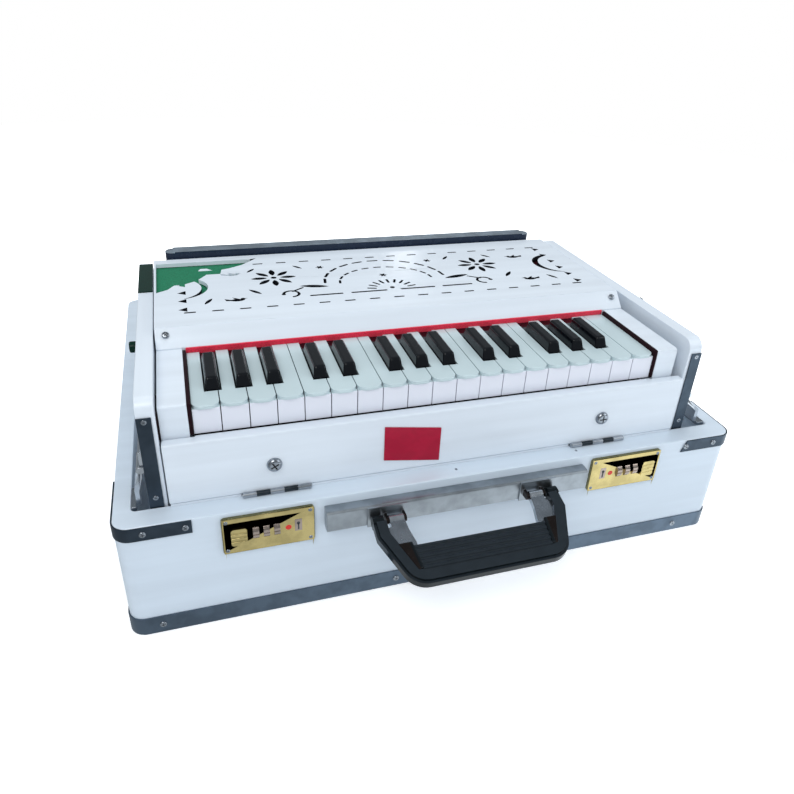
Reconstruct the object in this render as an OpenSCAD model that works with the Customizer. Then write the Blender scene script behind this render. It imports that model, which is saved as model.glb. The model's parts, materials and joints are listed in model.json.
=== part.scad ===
// Portable harmonium with 32 keys, raised on its lift in an open carrying tray.
// X runs along the keyboard, +Y to the bellows at the back, +Z up, the tray's foot at z 0.

/* [Keys] */
// Distance from one white key to the next
key_pitch = 22; // [20:0.1:24]
// Gap between two white keys
key_gap = 0.8; // [0.5:0.1:1.2]
// Length of a white key from its lip to the name felt
cap_len = 93.8; // [85:0.2:105]
// Height of a white key's front face
key_h = 25; // [20:0.5:26]
// Height of the white key tops above the tray's rim
key_rise = 83.5; // [78:0.5:90]
// Thickness of the white caps
cap_t = 2.8; // [2:0.1:4]
// Overhang of the caps at the front
lip = 1.6; // [0.8:0.1:2.4]
// Radius of the caps' front corners
cap_r = 7.5; // [4:0.5:9]
// Width of a black key at its foot
black_w = 12.8; // [11:0.1:13.4]
// Distance from the white lip to the black key's foot
black_set = 24.2; // [20:0.2:30]
// Height of the black keys above the white ones
black_rise = 9.5; // [8:0.5:12]
// Length of a black key's raised block
black_len = 52.5; // [48:0.5:60]
// Run of a black key's sloping front
black_slope = 7; // [4:0.5:10]
// Gap between a black key's foot and the white keys
foot_gap = 1.6; // [1.4:0.1:2]
// Side gap between a black key and a white tail
tail_gap = 0.6; // [0.4:0.1:0.9]
// How far a key tips, in degrees
key_dip = 3.1; // [2:0.1:3.5]
// Radius of the rod that the keys tip on
rod_r = 1.5; // [1:0.1:2]

/* [Keyboard body] */
// Width of the cheek block at each end of the keys
cheek_w = 21.5; // [16:0.5:28]
// Height of the cheeks above the white keys
cheek_rise = 3.5; // [2:0.5:6]
// Thickness of the felt beside the end keys
felt_t = 3; // [2:0.5:4]
// Depth of the body, front to back
body_d = 288.5; // [270:0.5:310]
// Height of the body
body_h = 122; // [116:1:124]
// Depth of the bevelled name rail
name_rail_d = 15; // [10:1:20]
// Thickness of the fretwork board
fret_t = 5; // [4:0.5:8]
// Thickness of the body's bottom board
bottom_t = 8; // [6:1:12]

/* [End panels] */
// Thickness of each end panel
panel_t = 14; // [10:1:18]
// Gap between the body and the left panel
gap_left = 1.5; // [1:0.5:4]
// Gap between the body and the right panel
gap_right = 8.5; // [5:0.5:12]
// How far the panels' tops lie below the fretwork board
panel_drop = 5; // [3:0.5:8]
// Height of the panels' lower edges above the floor
panel_foot = 76; // [72:1:84]
// Radius of the panels' front top corners
panel_r = 11; // [6:1:16]
// Thickness of the steel trim
steel_t = 1.2; // [0.8:0.1:1.6]

/* [Tray] */
// Height of the tray
tray_h = 116; // [112:1:122]
// Thickness of the tray's side and rear walls
wall_t = 14; // [12:1:18]
// Thickness of the tray's front wall
ledge_t = 21; // [19:1:26]
// Thickness of the tray's floor
floor_t = 8; // [6:1:12]
// Radius of the tray's upright corners
corner_r = 13; // [10:1:18]
// Room between the left panel and the tray's wall
side_gap_left = 14.5; // [13:0.5:18]
// Room between the right panel and the tray's wall
side_gap_right = 30.5; // [26:0.5:36]
// Room behind the bellows board for pumping
rear_room = 109.5; // [95:0.5:125]
// Height of the metal strip round the tray's foot
strip_h = 18; // [12:1:24]

/* [Front board] */
// Height of the hinged front board
board_h = 56.5; // [50:0.5:58]
// Thickness of the hinged front board
board_t = 9.5; // [7:0.5:12]
// Distance of the board's face from the tray's front face
board_set = 18.5; // [17:0.5:20]
// Radius of the board's top corners
board_r = 2; // [1:0.5:6]
// Length of each board hinge
hinge_len = 57; // [45:1:65]
// Distance of each board hinge from the board's middle
hinge_x = 152; // [120:1:175]
// Radius of the hinge knuckles
knuckle_r = 2.2; // [2:0.1:2.6]
// Thickness of the hinge leaves between the board and the tray
leaf_t = 1; // [0.8:0.1:1.2]
// Radius of the two dome screws
dome_r = 6.4; // [5:0.2:8]
// Width of the name plate
plate_w = 51; // [40:1:60]
// Height of the name plate
plate_h = 34; // [28:1:38]
// Slope of the name plate's long edges, in degrees
plate_slope = 9; // [0:1:12]

/* [Bellows] */
// Width of the bellows board
bellows_w = 440; // [420:1:446]
// Thickness of the bellows board
bellows_t = 17; // [13:0.5:20]
// Height of the bellows board above the fretwork board
bellows_rise = 7; // [3:0.5:10]
// Depth of the folded bellows
fold_d = 22; // [16:1:26]
// Number of folds
folds = 5; // [3:1:6]

/* [Locks and handle] */
// Width of a lock plate
lock_w = 75.5; // [72:0.5:82]
// Height of a lock plate
lock_h = 36.5; // [32:0.5:40]
// Distance of each lock from the middle of the tray
lock_x = 169; // [164:1:185]
// Radius of a lock's dials
dial_r = 8; // [7:0.5:9]
// Distance from one dial to the next
dial_pitch = 8.6; // [8:0.2:9.4]
// Travel of a lock's slider
slide_travel = 5; // [3:0.5:6]
// Length of the handle rail
rail_w = 245; // [232:1:252]
// Height of the handle rail
rail_h = 20.7; // [18:0.1:24]
// How far the handle rail stands out
rail_t = 11; // [9:0.5:13]
// Half the width of the handle at its mounts
handle_half = 86; // [80:1:92]
// How far the handle reaches from its pivot
handle_reach = 65.5; // [60:0.5:72]
// Distance from the pivot at which the handle's arms turn inwards
handle_knee = 18; // [14:1:24]
// Angle by which the handle's arms turn inwards
handle_taper = 21; // [15:1:25]
// Outer radius of the handle's lower corners
handle_r = 20; // [17:1:24]
// Thickness of the handle's frame
handle_t = 11; // [9:0.5:13]
// Distance from the handle's pivot to the grip's inner edge
grip_in = 31; // [28:0.5:36]
// Angle of the handle out from hanging, in degrees
handle_angle = 75; // [60:1:80]

/* [Hidden] */
$fn = 48;
whites = 19;
// The white key that each black key follows, counted from the lowest F
black_after = [1, 2, 3, 5, 6, 8, 9, 10, 12, 13, 15, 16, 17];
// How far each kind of black key stands off the joint between its neighbours
black_off = [-4, -1.5, 1.5, -4, -0.5];
blacks = len(black_after);

function two(n) = n < 10 ? str("0", n) : str(n);
function white_name(i) = str("white_key_", two(i));
function black_name(i) = str("black_key_", two(i));

// Clearances
fit = 0.3;
pin_fit = 0.05;
seat = 0.05;

// How deep the cheeks hold the key rod and the boards between them
rod_in = 10;
let_in = 4;

// Places along X
keys_w = whites * key_pitch;
body_w = keys_w + 2 * (felt_t + cheek_w);
tray_w = body_w + gap_left + gap_right + 2 * (panel_t + wall_t) + side_gap_left + side_gap_right;
panel_l = -tray_w / 2 + wall_t + side_gap_left;
body_x = panel_l + panel_t + gap_left;
keys_x = body_x + cheek_w + felt_t;
panel_r_in = body_x + body_w + gap_right;
panel_r_out = panel_r_in + panel_t;
body_mid = body_x + body_w / 2;
board_x = panel_l + panel_t + 1;
board_w = panel_r_in - 1 - board_x;
board_mid = board_x + board_w / 2;
fit_x = -1.5;

// Places along Z
key_z = tray_h + key_rise;
key_low = key_z - key_h;
stick_z = key_z - 10.5;
pivot_z = (stick_z + key_low) / 2;
cheek_z = key_z + cheek_rise;
top_z = cheek_z + 15;
case_z = top_z - fret_t;
body_z = top_z - body_h;
panel_z = top_z - panel_drop;
rail_low = stick_z + 4;
reed_z = key_low - 10;
board_z = tray_h + 2 * leaf_t + 0.2;
bellows_top = top_z + bellows_rise;

// The handle's tip settles how far the object reaches to the front
swing = 90 - handle_angle;
rail_z = tray_h - 8.3 - rail_h / 2;
mount_t = 1.6;
handle_piv_out = rail_t + mount_t + handle_t / 2 + 0.6;
handle_out = handle_piv_out + handle_reach * cos(swing) + handle_t / 2 * sin(swing);
panel_set = ledge_t + steel_t + 0.5;
board_back = board_set + board_t;
body_set = board_back + 1.2;
tray_d = body_set + body_d + 2.3 + bellows_t + rear_room + wall_t;

// Places along Y, from the tray's front face
front_y = -tray_d / 2 + (handle_out - steel_t) / 2;
rear_y = front_y + tray_d;
board_y = front_y + board_set;
panel_y = front_y + panel_set;
body_y = front_y + body_set;
lip_y = body_y + fit;
foot_y = lip_y + black_set;
felt_y = lip_y + cap_len + 0.4;
name_rail_y = felt_y + 2;
fret_y = name_rail_y + name_rail_d;
body_rear = body_y + body_d;
pivot_y = fret_y + 36;
pallet_y = pivot_y + 35;
tail_y = pallet_y + 30;
bellows_y = body_rear + 2.3;
panel_d = body_rear + 5 - panel_y;
back_wall_t = 7;
back_wall_y = body_rear - fold_d - back_wall_t;
bed_z = key_low - (pivot_y - lip_y - lip) * sin(key_dip) - 0.4 - 1.2;
fret_d = body_rear - fret_y;
fret_mid_y = fret_y + fret_d / 2 - 1.5;
hinge_y = board_y - knuckle_r;
hinge_z = tray_h + knuckle_r + 0.1;
bellows_piv_y = body_rear + 1.2 + 2.4;
bellows_piv_z = body_z + 2.8;
bellows_z = bellows_piv_z + 2.4 + 1.2;

// Locks, from the lock plate's face inwards
lock_t = 2.5;
lock_z = tray_h - 4 - lock_h / 2;
lock_face = front_y - lock_t;
dial_in = dial_r * 0.58;
dial_w = 5;

// Lift legs
function leg_out(side) = side < 0 ? side_gap_left - 4.5 : side_gap_right - 8.5;
leg_t = 3.4;
leg_piv = 3.6;
leg_z = tray_h + 34;
leg_d = 20;
leg_y = panel_y + 3;

function arc(cx, cy, r, a0, a1, n) =
  [for (i = [0:n]) let (a = a0 + (a1 - a0) * i / n) [cx + r * cos(a), cy + r * sin(a)]];

// Extrudes a Y-Z outline along X
module along_x(x, len) {
  translate([x, 0, 0]) rotate([90, 0, 90]) linear_extrude(len) children();
}

// Extrudes an X-Z outline towards +Y
module along_y(y, len) {
  translate([0, y + len, 0]) rotate([90, 0, 0]) linear_extrude(len) children();
}

module box(x, y, z, w, d, h) {
  translate([x, y, z]) cube([w, d, h]);
}

// Rounded rectangle from its lower left corner
module rrect(w, d, r) {
  translate([r, 0]) square([w - 2 * r, d]);
  translate([0, r]) square([w, d - 2 * r]);
  for (x = [r, w - r], y = [r, d - r]) translate([x, y]) circle(r);
}

module rod_x(x, y, z, r, len) {
  translate([x, y, z]) rotate([0, 90, 0]) cylinder(r = r, h = len);
}

module rod_y(x, y, z, r, len) {
  translate([x, y, z]) rotate([-90, 0, 0]) cylinder(r = r, h = len);
}

// Low dome that stands on z 0
module dome(r, h) {
  rotate_extrude() intersection() {
    translate([0, h - (r * r + h * h) / (2 * h)]) circle((r * r + h * h) / (2 * h), $fn = 96);
    square([r, h]);
  }
}

// Screw head whose flat side looks to +Y, a hair clear of its seat
module dome_front(x, y, z, r, h) {
  translate([x, y - seat, z]) rotate([90, 0, 0]) dome(r, h);
}

// Knuckles of a butt hinge along X, with a gap at each end; odd picks the fixed or the moving ones
knuckle_gap = 0.15;
module knuckles(x, len, y, z, r, odd) {
  step = len / 5;
  for (i = [0:4]) if (i % 2 == odd) {
    difference() {
      rod_x(x + i * step + knuckle_gap, y, z, r, step - 2 * knuckle_gap);
      if (odd == 1) rod_x(x + i * step - 1, y, z, r * 0.45 + pin_fit, step + 2);
    }
  }
}

// Case tray: a rounded open box with pockets for the two locks
module tray_outline(grow) {
  translate([-tray_w / 2 - grow, front_y - grow]) rrect(tray_w + 2 * grow, tray_d + 2 * grow, corner_r + grow);
}

pocket_r = 4;
module case_tray() color("aliceblue") difference() {
  linear_extrude(tray_h) tray_outline(0);
  translate([-tray_w / 2 + wall_t, front_y + ledge_t, floor_t])
    linear_extrude(tray_h) rrect(tray_w - 2 * wall_t, tray_d - ledge_t - wall_t, pocket_r);
  for (s = [-1, 1])
    box(fit_x + s * lock_x - lock_w / 2 + 3, front_y - 1, lock_z - 11, lock_w - 6, 1 + 16, 22);
}

module ring(z, h) {
  translate([0, 0, z]) linear_extrude(h) difference() {
    tray_outline(steel_t);
    tray_outline(0);
  }
}

// Case trim: foot strip and corner straps with their screws
strip_up = 0.6;
strap_h = 12.6;
strap_z = tray_h - 0.4 - strap_h;
strap_in = 59;
strap_back = 70;
module strap(side) {
  x_in = side * (tray_w / 2 - strap_in);
  slant = side > 0 ? 6 : 0;
  intersection() {
    ring(strap_z, strap_h);
    along_y(front_y - 5, strap_back)
      polygon([[x_in, strap_z - 1], [x_in + side * slant, strap_z + strap_h + 1],
               [side * (tray_w / 2 + 5), strap_z + strap_h + 1], [side * (tray_w / 2 + 5), strap_z - 1]]);
  }
}

module case_trim() {
  color("slategray") ring(strip_up, strip_h);
  color("slategray") for (s = [-1, 1]) strap(s);
  color("lightsteelblue") for (s = [-1, 1], x = [strap_in - 5, 22])
    dome_front(s * (tray_w / 2 - x), front_y - steel_t, strap_z + strap_h / 2, 2.8, 1.2);
  color("lightsteelblue") for (x = [-0.455, -0.1, 0.426])
    dome_front(x * tray_w, front_y - steel_t, strip_up + strip_h / 2, 3, 1.2);
}

// Tray fittings: fixed halves of the board hinges, leg catches, handle rail and its mounts
leaf_d = 9;
module board_hinge(odd) {
  step = hinge_len / 5;
  low = tray_h + odd * (leaf_t + 0.2);
  back = hinge_y + knuckle_r + fit;
  for (s = [-1, 1]) {
    x = board_mid + s * hinge_x - hinge_len / 2;
    knuckles(x, hinge_len, hinge_y, hinge_z, knuckle_r, odd);
    if (odd == 0) rod_x(x + 1, hinge_y, hinge_z, knuckle_r * 0.45, hinge_len - 2);
    for (i = [0:4]) if (i % 2 == odd)
      box(x + i * step + knuckle_gap, hinge_y + (odd == 0 ? 0 : knuckle_r - 0.8), low,
          step - 2 * knuckle_gap, 4, leaf_t);
    box(x + knuckle_gap, back, low, hinge_len - 2 * knuckle_gap, leaf_d, leaf_t);
  }
}

handle_y = front_y - handle_piv_out;
handle_z = rail_z - 0.5;
mount_x = handle_half - 20.8;
ear_w = 2.4;
ear_r = 3.2;
ear_x = 7.9;
sleeve_w = 12.6;
pin_r = 1.4;
module handle_mount(s) {
  x = fit_x + s * mount_x;
  box(s > 0 ? x - 12 : x - 23, front_y - rail_t - mount_t - seat, rail_z - 10, 35, mount_t, 20);
  for (e = [-1, 1])
    along_x(x + e * ear_x - ear_w / 2, ear_w) union() {
      translate([handle_y, handle_z]) circle(ear_r);
      translate([handle_y, handle_z - ear_r]) square([handle_piv_out - rail_t - 1, 2 * ear_r]);
    }
  rod_x(x - ear_x, handle_y, handle_z, pin_r, 2 * ear_x);
}

module leg_catch(side) {
  gap = side < 0 ? side_gap_left : side_gap_right;
  depth = gap - leg_out(side) - fit;
  x_wall = side * (tray_w / 2 - wall_t);
  catch_y = front_y + ledge_t + pocket_r + 0.2;
  box(side < 0 ? x_wall : x_wall - depth, catch_y, tray_h - 4, depth, leg_y + leg_d + 6 - catch_y, 4);
}

module handle_rail() {
  along_x(fit_x - rail_w / 2, rail_w) translate([front_y - rail_t, rail_z - rail_h / 2])
    polygon([[1.5, 0], [rail_t, 0], [rail_t, rail_h], [1.5, rail_h], [0, rail_h - 1.5], [0, 1.5]]);
}

module tray_fittings() {
  color("gray") handle_rail();
  color("darkkhaki") board_hinge(0);
  color("dimgray") for (s = [-1, 1]) handle_mount(s);
  color("gray") for (s = [-1, 1]) leg_catch(s);
}

// Locks: plates with windows for the dials and a slot for the slider
function lock_at(side, u) = fit_x + side * (lock_x + lock_w / 2 - u);
knob_u = 13.3;
knob_w = 13;
knob_h = 17;
dial_u = 26.9;
key_u = 61.8;
module lock_plate(side) {
  x0 = fit_x + side * lock_x - lock_w / 2;
  slot = 4 + slide_travel + 2 * fit;
  difference() {
    along_y(lock_face, lock_t) translate([x0, lock_z - lock_h / 2]) rrect(lock_w, lock_h, 3);
    for (i = [0:2])
      box(lock_at(side, dial_u + i * dial_pitch) - dial_w / 2 - fit, lock_face - 1, lock_z - dial_r,
          dial_w + 2 * fit, lock_t + 2, 2 * dial_r);
    box(lock_at(side, knob_u) - (side > 0 ? 2 + fit : 2 + fit + slide_travel), lock_face - 1, lock_z - 2.5 - fit,
        slot, lock_t + 2, 5 + 2 * fit);
    rod_y(lock_at(side, key_u), lock_face - 1, lock_z + 1.5, 2, lock_t + 2);
    box(lock_at(side, key_u) - 0.9, lock_face - 1, lock_z - 4, 1.8, lock_t + 2, 5);
  }
  for (u = [dial_u - dial_pitch / 2 - 1, dial_u + 2.5 * dial_pitch + 1])
    box(lock_at(side, u) - 0.8, lock_face + lock_t, lock_z - 3.5, 1.6, dial_in + 3.5 - lock_t, 7);
  rod_x(lock_at(side, dial_u + dial_pitch) - 1.5 * dial_pitch - 1, lock_face + dial_in, lock_z, 1.5,
        3 * dial_pitch + 2);
}

module lock_plates() {
  color("darkkhaki") for (s = [-1, 1]) lock_plate(s);
  color("khaki") for (s = [-1, 1], u = [3.6, lock_w - 3.6], v = [-1, 1])
    dome_front(lock_at(s, u), lock_face, lock_z + v * (lock_h / 2 - 3.6), 1.9, 0.9);
}

module lock_slider(side) color("goldenrod") {
  x = lock_at(side, knob_u);
  difference() {
    along_y(lock_face - 3.2, 3.2 - fit / 2) translate([x - knob_w / 2, lock_z - knob_h / 2])
      rrect(knob_w, knob_h, 2.5);
    for (v = [-4, 0, 4]) rod_x(x - knob_w, lock_face - 3.6, lock_z + v, 1, 2 * knob_w);
  }
  box(x - 2, lock_face - fit, lock_z - 2.5, 4, lock_t + 2 * fit, 5);
  box(x - 2 - fit, lock_face + lock_t + fit, lock_z - 5, 4 + 2 * fit, 2, 10);
}

module lock_dial(n) color("gold") {
  side = n < 4 ? -1 : 1;
  i = n < 4 ? n - 1 : 6 - n;
  x = lock_at(side, dial_u + i * dial_pitch);
  difference() {
    rod_x(x - dial_w / 2, lock_face + dial_in, lock_z, dial_r - fit, dial_w);
    rod_x(x - dial_w, lock_face + dial_in, lock_z, 1.5 + pin_fit, 2 * dial_w);
    for (a = [0:36:359]) translate([x, lock_face + dial_in, lock_z]) rotate([a, 0, 0])
      box(-dial_w, dial_r - fit - 0.5, -0.5, 2 * dial_w, 2, 1);
  }
}

// Front board with rounded top corners
module front_board() color("white")
  along_y(board_y, board_t) translate([board_x, board_z]) union() {
    square([board_w, board_h - board_r]);
    translate([board_r, 0]) square([board_w - 2 * board_r, board_h]);
    for (x = [board_r, board_w - board_r]) translate([x, board_h - board_r]) circle(board_r);
  }

module board_fittings() {
  color("darkkhaki") board_hinge(1);
  color("silver") for (s = [-1, 1])
    dome_front(board_mid + s * (hinge_x + 1), board_y, board_z + 25.5, dome_r, 3.6);
}

// The plate sits crooked: its sides stand upright and its long edges slope
plate_x = 178;
module nameplate() color("maroon") {
  drop = plate_w / 2 * tan(plate_slope);
  translate([keys_x + plate_x, board_y, board_z + board_h * 0.47]) along_y(-1, 1)
    polygon([[-plate_w / 2, drop - plate_h / 2], [plate_w / 2, -drop - plate_h / 2],
             [plate_w / 2, plate_h / 2 - drop], [-plate_w / 2, plate_h / 2 + drop]]);
}

// End panels with battens that reach the body
module side_panels() color("aliceblue") {
  for (x = [panel_l, panel_r_in]) along_x(x, panel_t) translate([panel_y, panel_foot]) union() {
    square([panel_d, panel_z - panel_foot - panel_r]);
    translate([panel_r, 0]) square([panel_d - panel_r, panel_z - panel_foot]);
    translate([panel_r, panel_z - panel_foot - panel_r]) circle(panel_r);
  }
  for (y = [body_y + 20, body_rear - 60]) {
    box(panel_l + panel_t, y, body_z + 6, gap_left, 40, 60);
    box(panel_r_in - gap_right, y, body_z + 6, gap_right, 40, 60);
  }
}

strip_w = 11;
rail_slope = atan((top_z - cheek_z - 2) / (name_rail_d - 2));
module leg_bracket(side) {
  x_face = side < 0 ? panel_l : panel_r_out;
  for (y = [leg_y, leg_y + leg_d + 2 + 2 * fit])
    along_y(y, 2) union() {
      translate([x_face + side * leg_piv, leg_z]) circle(2.8);
      translate([side < 0 ? x_face - leg_piv : x_face, leg_z - 2.8]) square([leg_piv, 5.6]);
    }
  rod_y(x_face + side * leg_piv, leg_y + 1, leg_z, pin_r, leg_d + 2 + 2 * fit);
  along_y(leg_y, leg_d + 4 + 2 * fit)
    translate([side < 0 ? x_face - 3 : x_face, leg_z + 5]) rrect(3, 12, 1.2);
}

bell_hinge_x = body_w * 0.3;
bell_hinge_w = 30;
bell_r = 2.4;
module bellows_hinge_fixed(s) {
  x = body_mid + s * bell_hinge_x - bell_hinge_w / 2;
  step = bell_hinge_w / 5;
  box(x, body_rear, body_z, bell_hinge_w, 1.2, 6);
  for (i = [0, 2, 4])
    box(x + i * step + knuckle_gap, body_rear, bellows_piv_z - bell_r,
        step - 2 * knuckle_gap, bellows_piv_y - body_rear, bell_r);
  knuckles(x, bell_hinge_w, bellows_piv_y, bellows_piv_z, bell_r, 0);
  rod_x(x + 1, bellows_piv_y, bellows_piv_z, bell_r * 0.45, bell_hinge_w - 2);
}

rear_cap_len = 80;
rear_cap_end = 5;
rail_screw_in = 9;
rail_screw_up = name_rail_d * 0.55;
knob_y = panel_y + 109;
knob_r = 5;
knob_len = 6;
module panel_fittings() {
  color("silver") for (s = [-1, 1]) bellows_hinge_fixed(s);
  color("slategray") for (x = [panel_l, panel_r_out - strip_w])
    box(x, panel_y - steel_t, panel_foot, strip_w, steel_t, key_z - panel_foot);
  color("lightsteelblue") for (x = [panel_l + strip_w / 2, panel_r_out - strip_w / 2], z = [key_z - 3.5, tray_h + 9])
    dome_front(x, panel_y - steel_t, z, 2.2, 0.35);
  color("darkgreen")
    box(panel_l, panel_y + panel_d - rear_cap_end - rear_cap_len, panel_z, panel_t, rear_cap_len, steel_t);
  color("silver") for (x = [body_x + rail_screw_in, body_x + body_w - rail_screw_in])
    translate([x, name_rail_y + rail_screw_up, cheek_z + 2 + (rail_screw_up - 1) * tan(rail_slope) + 2 * seat])
      rotate([rail_slope, 0, 0]) dome(3, 1);
  color("slategray") for (s = [-1, 1]) leg_bracket(s);
  color("black") for (s = [-1, 1]) {
    x = s < 0 ? panel_l - knob_len : panel_r_out;
    rod_x(x, knob_y, panel_z - knob_r - 2, knob_r, knob_len);
  }
}

// Body case: cheeks, bottom, front, key bed and back wall
module side_outline() {
  polygon([[body_y, body_z], [body_rear, body_z], [body_rear, case_z], [fret_y, case_z], [fret_y, rail_low],
           [name_rail_y, rail_low], [name_rail_y, cheek_z], [body_y + 3, cheek_z], [body_y + 0.9, cheek_z - 0.9],
           [body_y, cheek_z - 3]]);
}

module body_case() color("aliceblue") {
  inner_x = body_x + cheek_w - let_in;
  inner_w = body_w - 2 * cheek_w + 2 * let_in;
  beam = 10;
  bed_end = pivot_y - 15;
  rest_w = 12;
  rest_y = pivot_y - 8 - rest_w;
  difference() {
    union() {
      along_x(body_x, cheek_w) side_outline();
      along_x(body_x + body_w - cheek_w, cheek_w) side_outline();
      box(inner_x, body_y, body_z, inner_w, body_d, bottom_t);
      box(inner_x, body_y, body_z, inner_w, beam, bed_z - body_z);
      box(inner_x, body_y, bed_z - beam, inner_w, bed_end - body_y, beam);
      box(inner_x, back_wall_y, body_z, inner_w, back_wall_t, case_z - body_z);
      box(inner_x, rest_y, body_z, inner_w, rest_w, bed_z - body_z - 2);
    }
    rod_x(body_x + cheek_w - rod_in, pivot_y, pivot_z, rod_r, body_w - 2 * cheek_w + 2 * rod_in);
  }
}

// Name rail: rises to the fretwork board in a bevel
module name_rail() color("aliceblue") along_x(body_x, body_w)
  polygon([[name_rail_y, rail_low], [fret_y, rail_low], [fret_y, top_z], [fret_y - 1, top_z],
           [name_rail_y + 1, cheek_z + 2], [name_rail_y, cheek_z + 1]]);

module felt_strips() {
  color("firebrick") box(keys_x, felt_y, key_z - 2, keys_w, 2, 6.5);
  color("maroon") for (x = [keys_x - felt_t, keys_x + keys_w])
    box(x, body_y, key_low, felt_t, felt_y - fit - body_y, cheek_z - key_low);
  color("maroon") box(keys_x, body_y + 10, bed_z, keys_w, 14, 1.2);
  color("maroon") box(panel_l + panel_t, body_y - 2.5, tray_h + board_h + 3, 0.85, 30, key_h - 2);
}

// Fretwork openings, drawn about the middle of the pattern
module slot(len, w) {
  square([len - w, w], center = true);
  for (s = [-1, 1]) translate([s * (len - w) / 2, 0]) circle(w / 2, $fn = 24);
}

// Pointed oval, the common shape of the petals and leaves
module lens(len, w) {
  r = (len * len / 4 + w * w / 4) / w;
  intersection() {
    translate([0, r - w / 2]) circle(r, $fn = 96);
    translate([0, w / 2 - r]) circle(r, $fn = 96);
  }
}

module flower(reach) {
  for (a = [0:45:359]) rotate(a) translate([(reach + 6) / 2 + 0.5, 0]) lens(reach - 6, 6.4);
  circle(3, $fn = 24);
}

module bird() {
  lens(15, 6);
  translate([5.5, 2.6]) circle(2.2, $fn = 24);
  polygon([[7, 2], [10.5, 3.2], [7, 4]]);
  polygon([[-5, 1.6], [-12, 4.4], [-10.5, -0.6], [-5, -1.2]]);
  polygon([[-2, 2], [-4.5, 7.5], [2.5, 2.4]]);
}

module star() {
  for (a = [0:60:179]) rotate(a) lens(10, 2.6);
}

module hook() {
  difference() {
    circle(9, $fn = 48);
    circle(6.2, $fn = 48);
    translate([-12, -12]) square([12, 12]);
  }
  translate([-7.6, 0]) circle(2.2, $fn = 24);
}

module crescent() {
  difference() {
    circle(29, $fn = 96);
    translate([-5.5, -2]) circle(28, $fn = 96);
    translate([-40, -40]) square([45, 80]);
  }
}

module arch(rx, ry, count, len, w) {
  for (i = [0:count - 1]) {
    t = 8 + (180 - 16) * i / (count - 1);
    translate([rx * cos(t), ry * sin(t)]) rotate(atan2(ry * cos(t), -rx * sin(t))) slot(len, w);
  }
}

module fretwork() {
  half = body_w / 2 - 31.5;
  cell = 2 * half / 16;
  for (s = [-1, 1], i = [-8:8]) translate([i * cell, s * 59]) slot(11, 2.6);
  for (s = [-1, 1], i = [-2.5:1:2.5])
    translate([s * (half + 6), i * 20.6]) scale([s, 1]) polygon([[-4, -5], [-4, 5], [4, 0]]);
  for (s = [-1, 1]) scale([s, 1]) {
    translate([-211, 3]) crescent();
    translate([-115, 15]) flower(23);
    translate([-78, -16]) rotate(-12) lens(30, 7);
    translate([-96, -22]) rotate(35) slot(16, 2.4);
    translate([-104, -32]) hook();
    translate([-157, -38]) bird();
    translate([-62, 37]) star();
    translate([-70, -40]) slot(34, 3);
    translate([-26, -40]) slot(38, 3);
    translate([-184, -36]) rotate(60) lens(16, 4);
    translate([-138, -20]) rotate(-50) lens(18, 4.4);
    translate([-136, 40]) rotate(50) lens(14, 3.6);
    translate([-86, 42]) rotate(-50) lens(14, 3.6);
  }
  translate([-156, 31]) bird();
  translate([168, 31]) scale([-1, 1]) bird();
  translate([0, 2]) star();
  translate([0, -12]) arch(65, 59, 11, 13, 3);
  translate([0, -15]) arch(50, 41, 11, 9, 2.6);
  translate([0, -38]) for (i = [0:8]) rotate(14 + i * 19) translate([22, 0]) slot(10, 2.6);
  translate([0, -34]) circle(2.6, $fn = 24);
}

// The cut-away corner, from the board's rear left corner
corner_cut = [[2, -96], [13, -89], [19, -79], [30, -77], [41, -70], [46, -63], [52, -54], [66, -54], [68, -42],
              [76, -39], [90, -31], [108, -12], [101, -14], [2, -14]];
lining_t = 0.8;
module lining_outline(grow) {
  translate([body_x + 1 - grow, body_rear - 100 - grow]) square([112 + 2 * grow, 94 + 2 * grow]);
}

module fret_board() color("aliceblue") difference() {
  along_x(body_x, body_w)
    polygon([[fret_y, case_z], [body_rear, case_z], [body_rear, top_z - 1.5], [body_rear - 1.5, top_z],
             [fret_y, top_z]]);
  translate([body_mid, fret_mid_y, case_z - 1]) linear_extrude(fret_t + 2) fretwork();
  translate([body_x, body_rear, case_z - 1]) linear_extrude(fret_t + 2) polygon(corner_cut);
  translate([0, 0, case_z - 1]) linear_extrude(1 + lining_t + 0.1) lining_outline(0.2);
}

module green_lining() color("green") translate([0, 0, case_z]) linear_extrude(lining_t) lining_outline(0);

// Reed action: board with a slot under each pallet, and the rod of the keys
module reed_action() color("burlywood") {
  difference() {
    box(body_x + cheek_w, pallet_y - 8, reed_z - 7, body_w - 2 * cheek_w, tail_y - pallet_y + 16, 7);
    for (i = [1:whites]) box(white_mid(i) - 2, pallet_y + 4, reed_z - 8, 4, tail_y - pallet_y - 8, 9);
    for (i = [1:blacks]) box(black_x(i) - 2, pallet_y + 4, reed_z - 8, 4, tail_y - pallet_y - 8, 9);
  }
  rod_x(body_x + cheek_w - rod_in, pivot_y, pivot_z, rod_r, body_w - 2 * cheek_w + 2 * rod_in);
}

// Keys
function black_x(i) = keys_x + black_after[i - 1] * key_pitch + black_off[(i - 1) % 5];
function black_on(j) = [for (b = [1:blacks]) if (black_after[b - 1] == j) black_x(b)];
function white_l(i) = keys_x + (i - 1) * key_pitch + key_gap / 2;
function white_r(i) = keys_x + i * key_pitch - key_gap / 2;
function tail_l(i) = len(black_on(i - 1)) > 0 ? black_on(i - 1)[0] + black_w / 2 + tail_gap : white_l(i);
function tail_r(i) = len(black_on(i)) > 0 ? black_on(i)[0] - black_w / 2 - tail_gap : white_r(i);
function white_mid(i) = (tail_l(i) + tail_r(i)) / 2;

module key_bore(x) {
  rod_x(x - 20, pivot_y, pivot_z, rod_r + pin_fit, 40);
}

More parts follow.
